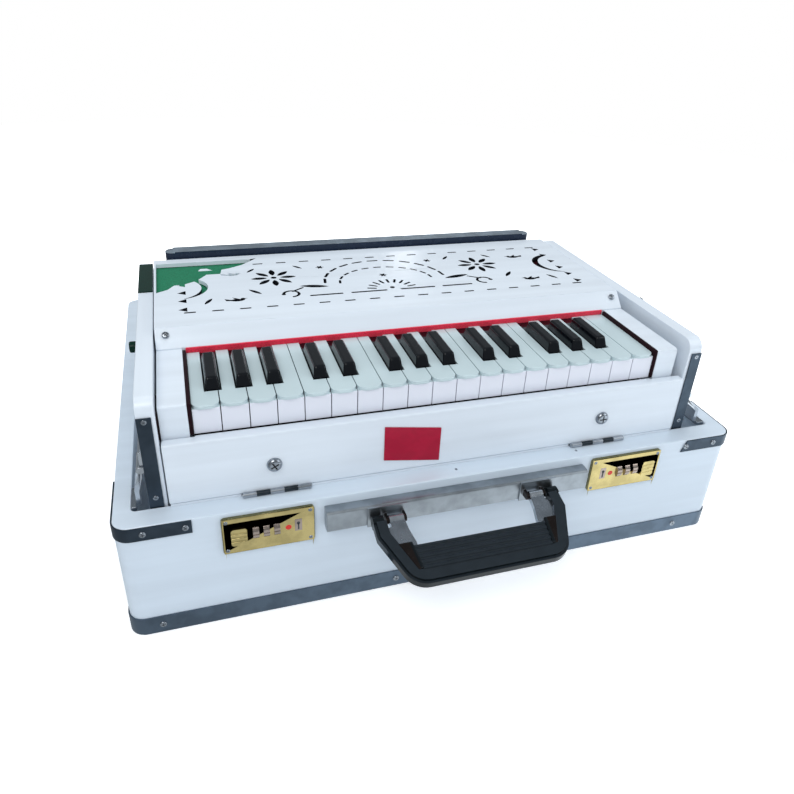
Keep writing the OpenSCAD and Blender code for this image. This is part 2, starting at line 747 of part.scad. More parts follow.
module cap_corner(x, s) {
  translate([x, lip_y, key_z - cap_t]) linear_extrude(cap_t + 1) difference() {
    translate([s > 0 ? -1 : -cap_r, -1]) square(cap_r + 1);
    translate([s * cap_r, cap_r]) circle(cap_r);
  }
}

module white_key(i) color("ivory") difference() {
  intersection() {
    translate([0, 0, reed_z - 5]) linear_extrude(key_z - reed_z + 10)
      polygon([[white_l(i), lip_y - 1], [white_r(i), lip_y - 1], [white_r(i), foot_y - foot_gap],
               [tail_r(i), foot_y - foot_gap], [tail_r(i), tail_y + 1], [tail_l(i), tail_y + 1],
               [tail_l(i), foot_y - foot_gap], [white_l(i), foot_y - foot_gap]]);
    along_x(white_l(i) - 1, key_pitch + 2)
      polygon(concat([[lip_y + lip, key_low], [lip_y + lip, key_z - cap_t], [lip_y, key_z - cap_t]],
        arc(lip_y + 1.4, key_z - 1.4, 1.4, 180, 90, 4),
        [[lip_y + cap_len, key_z], [lip_y + cap_len, stick_z], [tail_y, stick_z], [tail_y, reed_z + fit],
         [pallet_y, reed_z + fit], [pallet_y, key_low]]));
  }
  cap_corner(white_l(i), 1);
  cap_corner(white_r(i), -1);
  key_bore(white_mid(i));
}

// Black key: a raised block with sloping sides on a low stick
module black_key(i) color("black") difference() {
  x = black_x(i);
  top = key_z + black_rise;
  low = key_z - 1.5;
  block_y = foot_y + black_len;
  union() {
    intersection() {
      along_x(x - black_w, 2 * black_w)
        polygon(concat([[foot_y, key_low], [foot_y, key_z - 1]],
          arc(foot_y + black_slope + 2, top - 2, 2, 155, 90, 4),
          [[block_y - 3, top], [block_y - 0.8, top - 1.2], [block_y, top - 3], [block_y, low], [lip_y + cap_len, low],
           [lip_y + cap_len, key_low]]));
      along_y(foot_y - 1, cap_len)
        polygon([[x - black_w / 2, key_low], [x + black_w / 2, key_low], [x + black_w / 2, key_z],
                 [x + black_w / 2 - 0.8, top - 1.6], [x + black_w / 2 - 2.2, top], [x - black_w / 2 + 2.2, top],
                 [x - black_w / 2 + 0.8, top - 1.6], [x - black_w / 2, key_z]]);
    }
    box(x - black_w / 2, lip_y + cap_len - 1, key_low, black_w, tail_y - lip_y - cap_len + 1, stick_z - key_low);
    box(x - black_w / 2, pallet_y, reed_z + fit, black_w, tail_y - pallet_y, key_low - reed_z);
  }
  key_bore(x);
}

// Bellows: mitred folds and the pumping board
bellows_x = body_mid - 1 - bellows_w / 2;
module bellows_folds() color("maroon") {
  y0 = back_wall_y + back_wall_t + fit;
  depth = bellows_y - fit - y0;
  step = depth / folds;
  deep = 6;
  low = bellows_z + 3;
  top = case_z - 2;
  x0 = body_x + cheek_w + 4;
  x1 = body_x + body_w - cheek_w - 4;
  intersection() {
    along_x(x0 - 1, x1 - x0 + 2)
      polygon(concat([for (i = [0:2 * folds]) [y0 + i * step / 2, top - (i % 2 == 0 ? deep : 0)]],
        [[y0 + depth, low], [y0, low]]));
    translate([0, 0, low - 1]) linear_extrude(top - low + 2)
      polygon(concat([for (i = [0:2 * folds]) [x0 + (i % 2 == 0 ? deep : 0), y0 + i * step / 2]],
        [for (i = [2 * folds:-1:0]) [x1 - (i % 2 == 0 ? deep : 0), y0 + i * step / 2]]));
  }
}

module bellows_board() {
  color("midnightblue") translate([bellows_x, bellows_y, bellows_z])
    linear_extrude(bellows_top - steel_t - bellows_z) rrect(bellows_w, bellows_t, bellows_t / 2 - 0.5);
  color("silver") translate([bellows_x + 8, bellows_y, bellows_top - steel_t])
    linear_extrude(steel_t) rrect(bellows_w - 16, bellows_t, 2);
  color("silver") for (s = [-1, 1]) {
    x = body_mid + s * bell_hinge_x - bell_hinge_w / 2;
    step = bell_hinge_w / 5;
    knuckles(x, bell_hinge_w, bellows_piv_y, bellows_piv_z, bell_r, 1);
    box(x + step, bellows_piv_y, bellows_piv_z + bell_r + fit, 3 * step, 10, 1.2 - fit);
    for (i = [1, 3])
      box(x + i * step + knuckle_gap, bellows_piv_y + 1.4, bellows_piv_z, step - 2 * knuckle_gap, 1, bell_r + 0.5);
  }
}

// Handle: built lying flat towards -Y from its pivot, then tilted to its rest. An inset line keeps the same corners.
function handle_line(inset) = let (
    t = handle_taper,
    s0 = handle_reach - handle_r,
    cx = handle_half - (s0 - handle_knee) * tan(t) - handle_r / cos(t),
    knee = handle_knee - inset * tan(t / 2))
  concat([[handle_half - inset, 0], [handle_half - inset, -knee]],
    [for (a = [t:(90 - t) / 8:90.01]) [cx + (handle_r - inset) * cos(a), -s0 - (handle_r - inset) * sin(a)]]);
function handle_edge(inset) = let (right = handle_line(inset), n = len(right))
  concat(right, [for (i = [n - 1:-1:0]) [-right[i][0], right[i][1]]]);
frame_bar = 11;
arm_start = 3;
edge_in = 2.2;
arm_slim = 1.5;
arm_thin = 0.4;
module handle_frame() {
  difference() {
    union() {
      translate([0, 0, -handle_t / 2]) linear_extrude(handle_t) polygon(handle_edge(edge_in));
      translate([0, 0, edge_in - handle_t / 2]) linear_extrude(handle_t - 2 * edge_in) polygon(handle_edge(0));
    }
    translate([0, 0, -handle_t]) linear_extrude(2 * handle_t) polygon(handle_edge(frame_bar));
    box(-handle_half - 1, -arm_start, -handle_t, 2 * handle_half + 2, arm_start + 1, 2 * handle_t);
  }
  for (s = [-1, 1]) {
    x = s > 0 ? handle_half - frame_bar + arm_slim : -handle_half;
    rod_x(x, 0, 0, handle_t / 2 - arm_thin, frame_bar - arm_slim);
    box(x, -arm_start - 1, arm_thin - handle_t / 2, frame_bar - arm_slim, arm_start + 1, handle_t - 2 * arm_thin);
  }
}

module handle_pad() {
  groove = 5;
  difference() {
    intersection() {
      translate([0, 0, 1 - handle_t / 2]) linear_extrude(handle_t - 1) polygon(handle_edge(frame_bar + fit));
      box(-handle_half, -handle_reach, -handle_t, 2 * handle_half, handle_reach - grip_in, 2 * handle_t);
    }
    for (i = [0:4]) rod_x(-handle_half, -grip_in - 3.4 - i * groove, handle_t / 2 + 0.6, 1.6, 2 * handle_half);
  }
}

// Bright steel bracket inside each arm, from the pivot to the grip's end
bracket_t = 5;
module handle_bracket(s) {
  difference() {
    union() {
      rod_x(s * mount_x - sleeve_w / 2, 0, 0, 4.2, sleeve_w);
      translate([0, 0, -bracket_t / 2]) linear_extrude(bracket_t) mirror([s < 0 ? 1 : 0, 0, 0])
        polygon([[mount_x - sleeve_w / 2, 0], [mount_x + sleeve_w / 2, 0], [mount_x + sleeve_w / 2, -8],
                 [mount_x + 11, -10], [mount_x + 11, -17], [mount_x + 1, -42], [mount_x - 8, -44],
                 [mount_x - 11, -41], [mount_x - 10, -26], [mount_x - 7.5, -14]]);
    }
    rod_x(s * mount_x - 20, 0, 0, pin_r + pin_fit, 40);
  }
}

module handle() translate([fit_x, handle_y, handle_z]) rotate([swing, 0, 0]) {
  color("black") handle_frame();
  color("silver") for (s = [-1, 1]) handle_bracket(s);
  color("dimgray") handle_pad();
}

module lift_leg(side) color("lightsteelblue") {
  x_face = side < 0 ? panel_l : panel_r_out;
  out = leg_out(side);
  knee = leg_z - 20;
  foot = tray_h + 0.4;
  translate([x_face, 0, 0]) mirror([side < 0 ? 1 : 0, 0, 0]) along_y(leg_y + 2 + fit, leg_d) difference() {
    union() {
      translate([leg_piv, leg_z]) circle(2.6);
      polygon([[leg_piv - 1.4, leg_z - 2], [leg_piv + 1.6, leg_z - 1.6], [leg_piv + 2.4, leg_z - 6], [out, knee],
               [out, foot], [out - leg_t, foot], [out - leg_t, knee - 1], [leg_piv - 1, leg_z - 8]]);
    }
    translate([leg_piv, leg_z]) circle(pin_r + pin_fit);
  }
}

case_tray();
case_trim();
tray_fittings();
lock_plates();
front_board();
board_fittings();
nameplate();
side_panels();
panel_fittings();
body_case();
name_rail();
felt_strips();
fret_board();
green_lining();
reed_action();
bellows_folds();
bellows_board();
handle();
lock_slider(-1);  // lock_slider_left
lock_slider(1);  // lock_slider_right
for (n = [1:6]) lock_dial(n);
lift_leg(-1);  // lift_leg_left
lift_leg(1);  // lift_leg_right
for (i = [1:whites]) white_key(i);
for (i = [1:blacks]) black_key(i);
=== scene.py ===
"""Portable harmonium on its lift in an open carrying tray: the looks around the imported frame."""

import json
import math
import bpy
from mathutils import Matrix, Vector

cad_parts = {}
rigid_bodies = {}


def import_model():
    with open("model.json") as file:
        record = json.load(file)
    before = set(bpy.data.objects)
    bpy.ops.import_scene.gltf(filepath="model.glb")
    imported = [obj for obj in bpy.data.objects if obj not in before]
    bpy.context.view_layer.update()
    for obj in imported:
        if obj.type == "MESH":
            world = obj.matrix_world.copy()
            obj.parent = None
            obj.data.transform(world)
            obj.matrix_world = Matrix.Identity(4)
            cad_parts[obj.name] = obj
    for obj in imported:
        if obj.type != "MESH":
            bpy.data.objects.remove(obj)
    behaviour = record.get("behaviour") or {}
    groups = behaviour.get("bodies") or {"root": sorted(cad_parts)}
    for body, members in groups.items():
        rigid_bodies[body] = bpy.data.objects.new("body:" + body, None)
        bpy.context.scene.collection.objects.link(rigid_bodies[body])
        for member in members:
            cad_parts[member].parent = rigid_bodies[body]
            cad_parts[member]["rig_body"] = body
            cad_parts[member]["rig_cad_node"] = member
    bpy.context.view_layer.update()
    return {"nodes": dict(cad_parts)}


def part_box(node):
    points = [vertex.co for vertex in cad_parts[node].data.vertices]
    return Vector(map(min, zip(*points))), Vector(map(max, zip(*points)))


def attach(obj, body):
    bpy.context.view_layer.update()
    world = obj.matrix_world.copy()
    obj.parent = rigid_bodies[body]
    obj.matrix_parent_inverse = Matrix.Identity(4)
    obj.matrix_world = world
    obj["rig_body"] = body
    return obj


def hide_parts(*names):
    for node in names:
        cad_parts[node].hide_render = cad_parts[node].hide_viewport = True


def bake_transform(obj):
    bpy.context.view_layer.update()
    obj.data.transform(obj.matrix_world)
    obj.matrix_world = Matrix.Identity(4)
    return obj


bl_info = {
    "name": "Portable Harmonium",
    "version": (1, 0, 0),
    "blender": (4, 5, 0),
    "location": "View3D > Sidebar > Harmonium",
    "description": "Builds the painted boards, keys, felts, metalwork and bellows of a tray harmonium",
    "category": "Add Mesh",
}

import bmesh
import bpy
from mathutils import Matrix, Quaternion, Vector

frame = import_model()
WHITE_KEYS = [f"white_key_{i:02d}" for i in range(1, 20)]
BLACK_KEYS = [f"black_key_{i:02d}" for i in range(1, 14)]
MM = 0.001
SHARED = {}


class HarmoniumColours(bpy.types.PropertyGroup):
    """Colours of the finishes"""

    paint: bpy.props.FloatVectorProperty(
        name="White paint", description="Gloss paint on the boards and the tray",
        subtype="COLOR", size=3, min=0, max=1, default=(0.69, 0.755, 0.83))
    # The tray's paint is the boards' white paint drawn a little darker and greyer, as painted shade on the tray.
    tray_paint_shaded: bpy.props.FloatVectorProperty(
        name="Tray paint", description="Gloss paint on the tray, a little greyer than the boards",
        subtype="COLOR", size=3, min=0, max=1, default=(0.615, 0.70, 0.79))
    # The corner straps and panel strips use this steel at half its brightness, as painted shade.
    steel: bpy.props.FloatVectorProperty(
        name="Grey steel", description="Foot strip, corner straps and panel strips",
        subtype="COLOR", size=3, min=0, max=1, default=(0.12, 0.16, 0.21))
    aluminium: bpy.props.FloatVectorProperty(
        name="Aluminium", description="Handle rail and the channel on the pumping board",
        subtype="COLOR", size=3, min=0, max=1, default=(0.35, 0.38, 0.41))
    brass: bpy.props.FloatVectorProperty(
        name="Lock brass", description="Lock plates, sliders and dials",
        subtype="COLOR", size=3, min=0, max=1, default=(0.23, 0.215, 0.11))
    handle: bpy.props.FloatVectorProperty(
        name="Handle plastic", description="Gloss plastic of the handle's frame",
        subtype="COLOR", size=3, min=0, max=1, default=(0.003, 0.006, 0.008))
    grip: bpy.props.FloatVectorProperty(
        name="Grip", description="Ribbed pad of the handle",
        subtype="COLOR", size=3, min=0, max=1, default=(0.010, 0.016, 0.022))
    white_key: bpy.props.FloatVectorProperty(
        name="White key caps", description="Caps of the white keys",
        subtype="COLOR", size=3, min=0, max=1, default=(0.50, 0.61, 0.645))
    black_key: bpy.props.FloatVectorProperty(
        name="Black keys", description="Caps of the black keys",
        subtype="COLOR", size=3, min=0, max=1, default=(0.002, 0.003, 0.005))
    felt: bpy.props.FloatVectorProperty(
        name="Red felt", description="Felt behind the keys",
        subtype="COLOR", size=3, min=0, max=1, default=(0.72, 0.022, 0.06))
    # Felt beside and in front of the keys: maroon felt darkened to near black, as painted shade for the slots it
    # lies in.
    felt_shaded: bpy.props.FloatVectorProperty(
        name="Maroon felt", description="Felt beside the keys, and the bellows cloth",
        subtype="COLOR", size=3, min=0, max=1, default=(0.012, 0.0008, 0.004))
    lining: bpy.props.FloatVectorProperty(
        name="Green lining", description="Cloth under the cut-away corner",
        subtype="COLOR", size=3, min=0, max=1, default=(0.012, 0.17, 0.085))
    plate: bpy.props.FloatVectorProperty(
        name="Name plate", description="Bare plate on the front board",
        subtype="COLOR", size=3, min=0, max=1, default=(0.36, 0.001, 0.028))


class HarmoniumSizes(bpy.types.PropertyGroup):
    """Sizes of the finish"""

    board_round: bpy.props.FloatProperty(
        name="Board edges", description="Rounding of the painted boards' edges",
        subtype="DISTANCE", unit="LENGTH", min=0.0002, max=0.003, default=0.0012)
    key_round: bpy.props.FloatProperty(
        name="Key edges", description="Rounding of the keys' edges",
        subtype="DISTANCE", unit="LENGTH", min=0.0002, max=0.002, default=0.0007)
    block_round: bpy.props.FloatProperty(
        name="Black key edges", description="Rounding of the black keys' raised blocks",
        subtype="DISTANCE", unit="LENGTH", min=0.0005, max=0.003, default=0.0021)
    metal_round: bpy.props.FloatProperty(
        name="Metal edges", description="Rounding of the metal edges",
        subtype="DISTANCE", unit="LENGTH", min=0.0001, max=0.001, default=0.0003)
    screw_slot: bpy.props.FloatProperty(
        name="Screw slot", description="Width of the slots in the screw heads",
        subtype="DISTANCE", unit="LENGTH", min=0.0003, max=0.0015, default=0.0007)
    lens: bpy.props.FloatProperty(
        name="Lens", description="Focal length of the camera in millimetres",
        min=20, max=80, default=31.44)
    light: bpy.props.FloatProperty(
        name="Light", description="Strength of the studio lights", min=0.1, max=4, default=1.0)


def colours():
    return bpy.context.scene.harmonium_colours


def sizes():
    return bpy.context.scene.harmonium_sizes


def deselect():
    if bpy.context.mode != "OBJECT":
        bpy.ops.object.mode_set(mode="OBJECT")
    bpy.ops.object.select_all(action="DESELECT")


def only(piece):
    deselect()
    piece.hide_viewport = False
    piece.hide_set(False)
    piece.select_set(True)
    bpy.context.view_layer.objects.active = piece


def place(piece):
    """Moves the piece's place into its mesh"""
    only(piece)
    bpy.ops.object.transform_apply(location=True, rotation=True, scale=True)


def apply_modifiers(piece):
    only(piece)
    for modifier in list(piece.modifiers):
        bpy.ops.object.modifier_apply(modifier=modifier.name)


def smooth(piece, degrees=32):
    only(piece)
    bpy.ops.object.shade_smooth_by_angle(angle=math.radians(degrees))


def finish(piece, name, material, body, slot, *nodes):
    """Names, paints and seats a finished piece"""
    piece.name = name
    piece.data.name = name
    if material is not None:
        piece.data.materials.clear()
        piece.data.materials.append(material)
    if body:
        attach(piece, body)
    if nodes:
        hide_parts(*nodes)
    return piece


def copied(node):
    """A welded copy of a CAD node, with flat faces joined up"""
    source = frame["nodes"][node]
    only(source)
    bpy.ops.object.duplicate()
    piece = bpy.context.view_layer.objects.active
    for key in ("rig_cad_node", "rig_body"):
        if key in piece:
            del piece[key]
    piece.parent = None
    piece.matrix_world = Matrix.Identity(4)
    only(piece)
    bpy.ops.object.mode_set(mode="EDIT")
    bpy.ops.mesh.select_all(action="SELECT")
    bpy.ops.mesh.remove_doubles(threshold=0.000005)
    bpy.ops.mesh.dissolve_limited(angle_limit=math.radians(0.5))
    bpy.ops.object.mode_set(mode="OBJECT")
    if piece.data.has_custom_normals:
        bpy.ops.mesh.customdata_custom_splitnormals_clear()
    return piece


def rounded(piece, radius, segments=2, angle=28):
    """Rounds the sharp edges and keeps the flat faces flat"""
    bevel = piece.modifiers.new("round", "BEVEL")
    bevel.width = radius
    bevel.segments = segments
    bevel.limit_method = "ANGLE"
    bevel.angle_limit = math.radians(angle)
    bevel.use_clamp_overlap = True
    apply_modifiers(piece)
    smooth(piece, 40)
    weigh = piece.modifiers.new("flat faces", "WEIGHTED_NORMAL")
    weigh.keep_sharp = True
    weigh.weight = 90
    apply_modifiers(piece)
    return piece


def round_edges(piece, test, radius, segments=3, angle=22):
    """Rounds only the sharp edges whose two ends pass the test"""
    only(piece)
    bpy.ops.object.mode_set(mode="EDIT")
    bpy.ops.mesh.select_mode(type="EDGE")
    bpy.ops.mesh.select_all(action="DESELECT")
    bpy.ops.mesh.edges_select_sharp(sharpness=math.radians(angle))
    bpy.ops.object.mode_set(mode="OBJECT")
    points = piece.data.vertices
    for edge in piece.data.edges:
        edge.select = edge.select and all(test(points[i].co) for i in edge.vertices)
    bpy.ops.object.mode_set(mode="EDIT")
    bpy.ops.mesh.bevel(offset=radius, segments=segments, affect="EDGES", clamp_overlap=True)
    bpy.ops.object.mode_set(mode="OBJECT")
    return piece


def softened(name, radius, segments=2, angle=28):
    """A copy of a CAD node with its sharp edges rounded"""
    return rounded(copied(name), radius, segments, angle)


def loose(name):
    """The separate solids of a CAD node, as copies"""
    only(copied(name))
    bpy.ops.object.mode_set(mode="EDIT")
    bpy.ops.mesh.select_all(action="SELECT")
    bpy.ops.mesh.separate(type="LOOSE")
    bpy.ops.object.mode_set(mode="OBJECT")
    return list(bpy.context.selected_objects)


def span(piece):
    """Middle and size of a piece"""
    points = [vertex.co for vertex in piece.data.vertices]
    low = Vector([min(p[i] for p in points) for i in range(3)])
    high = Vector([max(p[i] for p in points) for i in range(3)])
    return (low + high) / 2, high - low


def take(pieces, test):
    """Joins the solids that pass the test and drops them from the list"""
    chosen = [piece for piece in pieces if test(*span(piece))]
    for piece in chosen:
        pieces.remove(piece)
    return joined(chosen)


def block(middle, size, radius=0.0, segments=2):
    """A box with rounded edges"""
    deselect()
    bpy.ops.mesh.primitive_cube_add(size=1, location=middle)
    piece = bpy.context.active_object
    piece.scale = size
    place(piece)
    if radius:
        rounded(piece, radius, segments)
    return piece


def disc(middle, radius, depth, facing, edge=0.0, sides=24):
    """A short cylinder that faces along a direction"""
    deselect()
    bpy.ops.mesh.primitive_cylinder_add(vertices=sides, radius=radius, depth=depth, location=middle)
    piece = bpy.context.active_object
    piece.rotation_euler = Vector(facing).to_track_quat("Z", "Y").to_euler()
    place(piece)
    if edge:
        rounded(piece, edge, 3)
    return piece


def rod(start, end, radius):
    """A rounded rod between two points"""
    line = end - start
    return disc((start + end) / 2, radius, line.length, line, radius * 0.6)


def screw_pattern():
    """A domed head one metre in radius with a cross recess, looking along +Z"""
    if "head" in SHARED:
        return SHARED["head"]
    deselect()
    bpy.ops.mesh.primitive_cylinder_add(vertices=32, radius=1, depth=1, location=(0, 0, 0))
    head = bpy.context.active_object
    bevel = head.modifiers.new("dome", "BEVEL")
    bevel.width = 0.48
    bevel.segments = 6
    bevel.limit_method = "ANGLE"
    apply_modifiers(head)
    for turn in (0, 90):
        deselect()
        bpy.ops.mesh.primitive_cube_add(size=1, location=(0, 0, 0.5))
        bar = bpy.context.active_object
        bar.scale = (1.15, 0.2, 0.5)
        bar.rotation_euler = (0, 0, math.radians(turn))
        place(bar)
        cut = head.modifiers.new("cross", "BOOLEAN")
        cut.operation = "DIFFERENCE"
        cut.solver = "EXACT"
        cut.object = bar
        apply_modifiers(head)
        bpy.data.objects.remove(bar)
    smooth(head, 35)
    m = materials()
    head.data.materials.clear()
    head.data.materials.append(m["screw"])
    # The faces inside the cross slot get a near-black finish: painted shade in the slot.
    head.data.materials.append(m["recess"])
    for face in head.data.polygons:
        x, y, z = face.center
        if 0.2 < z < 0.48 and max(abs(x), abs(y)) < 0.62 and min(abs(x), abs(y)) < 0.13:
            face.material_index = 1
    SHARED["head"] = head
    return head


def screw(at, radius, height, facing=(0, -1, 0), turn=0.0):
    """A copy of the cross head, seated with its middle at a point"""
    pattern = screw_pattern()
    only(pattern)
    bpy.ops.object.duplicate()
    piece = bpy.context.active_object
    direction = Vector(facing).normalized()
    piece.scale = (radius, radius, 2 * height)
    piece.rotation_euler = (direction.to_track_quat("Z", "Y") @ Quaternion((0, 0, 1), turn)).to_euler()
    piece.location = at
    place(piece)
    return piece


def screws_for(pieces, test, scale=1.0, facing=(0, -1, 0)):
    """Cross heads in place of the plain domes that pass the test"""
    made = []
    for piece in [one for one in pieces if test(*span(one))]:
        middle, size = span(piece)
        pieces.remove(piece)
        radius = max(size) / 2 * scale
        back = Vector(facing) * -min(size) / 2
        made.append(screw(middle + back, radius, min(size) * scale, facing, 0.5 + len(made) * 1.1))
        bpy.data.objects.remove(piece)
    return joined(made)


def joined(pieces):
    deselect()
    for piece in pieces:
        piece.select_set(True)
    bpy.context.view_layer.objects.active = pieces[0]
    if len(pieces) > 1:
        bpy.ops.object.join()
    return bpy.context.view_layer.objects.active


# Materials

def new_material(name, colour, rough, metal=0.0, coat=0.0, specular=0.5):
    material = bpy.data.materials.new(name)
    material.use_nodes = True
    shader = material.node_tree.nodes["Principled BSDF"]
    shader.inputs["Base Color"].default_value = (*colour, 1)
    shader.inputs["Roughness"].default_value = rough
    shader.inputs["Metallic"].default_value = metal
    shader.inputs["Coat Weight"].default_value = coat
    shader.inputs["Coat Roughness"].default_value = 0.12
    shader.inputs["Specular IOR Level"].default_value = specular
    return material


def node(material, kind, **values):
    made = material.node_tree.nodes.new(kind)
    for key, value in values.items():
        if key.startswith("in_"):
            made.inputs[key[3:].replace("_", " ")].default_value = value
        else:
            setattr(made, key, value)
    return made


def link(material, a, out, b, into):
    material.node_tree.links.new(a.outputs[out], b.inputs[into])


def position(material, scale=(1, 1, 1), turn=(0, 0, 0)):
    """Object coordinates in metres, stretched to the grain"""
    coordinates = node(material, "ShaderNodeTexCoord")
    mapping = node(material, "ShaderNodeMapping")
    mapping.inputs["Scale"].default_value = scale
    mapping.inputs["Rotation"].default_value = turn
    link(material, coordinates, "Object", mapping, "Vector")
    return mapping


def mottle(material, source, scale, detail, low, high, colour_a, colour_b, factor_from=0.4, factor_to=0.6):
    """Colour that drifts between two tones, and roughness that drifts with it"""
    shader = material.node_tree.nodes["Principled BSDF"]
    noise = node(material, "ShaderNodeTexNoise")
    noise.inputs["Scale"].default_value = scale
    noise.inputs["Detail"].default_value = detail
    link(material, source, "Vector", noise, "Vector")
    ramp = node(material, "ShaderNodeValToRGB")
    ramp.color_ramp.elements[0].position = factor_from
    ramp.color_ramp.elements[1].position = factor_to
    ramp.color_ramp.elements[0].color = (*colour_a, 1)
    ramp.color_ramp.elements[1].color = (*colour_b, 1)
    link(material, noise, "Fac", ramp, "Fac")
    link(material, ramp, "Color", shader, "Base Color")
    spread = node(material, "ShaderNodeMapRange")
    spread.inputs["To Min"].default_value = low
    spread.inputs["To Max"].default_value = high
    link(material, noise, "Fac", spread, "Value")
    link(material, spread, "Result", shader, "Roughness")
    return noise, ramp


def bump(material, source, scale, detail, strength, distance):
    shader = material.node_tree.nodes["Principled BSDF"]
    noise = node(material, "ShaderNodeTexNoise")
    noise.inputs["Scale"].default_value = scale
    noise.inputs["Detail"].default_value = detail
    link(material, source, "Vector", noise, "Vector")
    relief = node(material, "ShaderNodeBump")
    relief.inputs["Strength"].default_value = strength
    relief.inputs["Distance"].default_value = distance
    link(material, noise, "Fac", relief, "Height")
    link(material, relief, "Normal", shader, "Normal")
    return relief


def tint(colour, factor):
    return tuple(min(1, c * factor) for c in colour)


def paint_material(name, colour, grain):
    """Gloss paint over wood: faint long grain, soft roller texture and a slight drift of tone"""
    material = new_material(name, colour, 0.32, coat=0.25)
    stretched = position(material, grain)
    mottle(material, stretched, 70, 6, 0.24, 0.36, tint(colour, 0.955), tint(colour, 1.02), 0.35, 0.65)
    bump(material, stretched, 160, 5, 0.14, 0.0005)
    return material


def metal_material(name, colour, rough, grain=(4, 400, 400), strength=0.12):
    """Brushed metal with fine scratches along one direction"""
    material = new_material(name, colour, rough, metal=1.0)
    drift = position(material)
    mottle(material, drift, 60, 6, rough - 0.07, rough + 0.12, tint(colour, 0.86), tint(colour, 1.1))
    stretched = position(material, grain)
    bump(material, stretched, 1, 3, strength, 0.0002)
    return material


def cloth_material(name, colour, weave=0.0009, sheen=0.35):
    """Felt or cloth: short fibres and a soft sheen"""
    material = new_material(name, colour, 0.95, specular=0.2)
    shader = material.node_tree.nodes["Principled BSDF"]
    shader.inputs["Sheen Weight"].default_value = sheen
    shader.inputs["Sheen Roughness"].default_value = 0.5
    here = position(material)
    mottle(material, here, 1 / weave, 5, 0.9, 1.0, tint(colour, 0.7), tint(colour, 1.25), 0.3, 0.7)
    bump(material, here, 1 / weave, 4, 0.6, 0.0006)
    return material


def plastic_material(name, colour, rough, coat=0.3, specular=0.3):
    """Moulded plastic with a faint ripple"""
    material = new_material(name, colour, rough, coat=coat, specular=specular)
    here = position(material)
    mottle(material, here, 120, 4, rough * 0.8, rough * 1.35, tint(colour, 0.94), tint(colour, 1.06))
    bump(material, here, 300, 2, 0.05, 0.0003)
    return material


def key_material(name, cap, front, cap_low):
    """White key: glossy cap over a pale wooden front, parted at the cap's lower edge; the front's paler tone is
    partly the wood's own and partly painted light on the front faces
    """
    material = new_material(name, cap, 0.2, coat=0.35)
    shader = material.node_tree.nodes["Principled BSDF"]
    here = position(material)
    noise, ramp = mottle(material, here, 14, 3, 0.16, 0.28, tint(cap, 0.97), tint(cap, 1.02))
    part = node(material, "ShaderNodeSeparateXYZ")
    coordinates = node(material, "ShaderNodeTexCoord")
    link(material, coordinates, "Object", part, "Vector")
    step = node(material, "ShaderNodeMath", operation="GREATER_THAN")
    step.inputs[1].default_value = cap_low
    link(material, part, "Z", step, 0)
    mix = node(material, "ShaderNodeMix", data_type="RGBA")
    mix.inputs["A"].default_value = (*front, 1)
    link(material, step, "Value", mix, "Factor")
    material.node_tree.links.new(ramp.outputs["Color"], mix.inputs[7])
    material.node_tree.links.new(mix.outputs[2], shader.inputs["Base Color"])
    return material


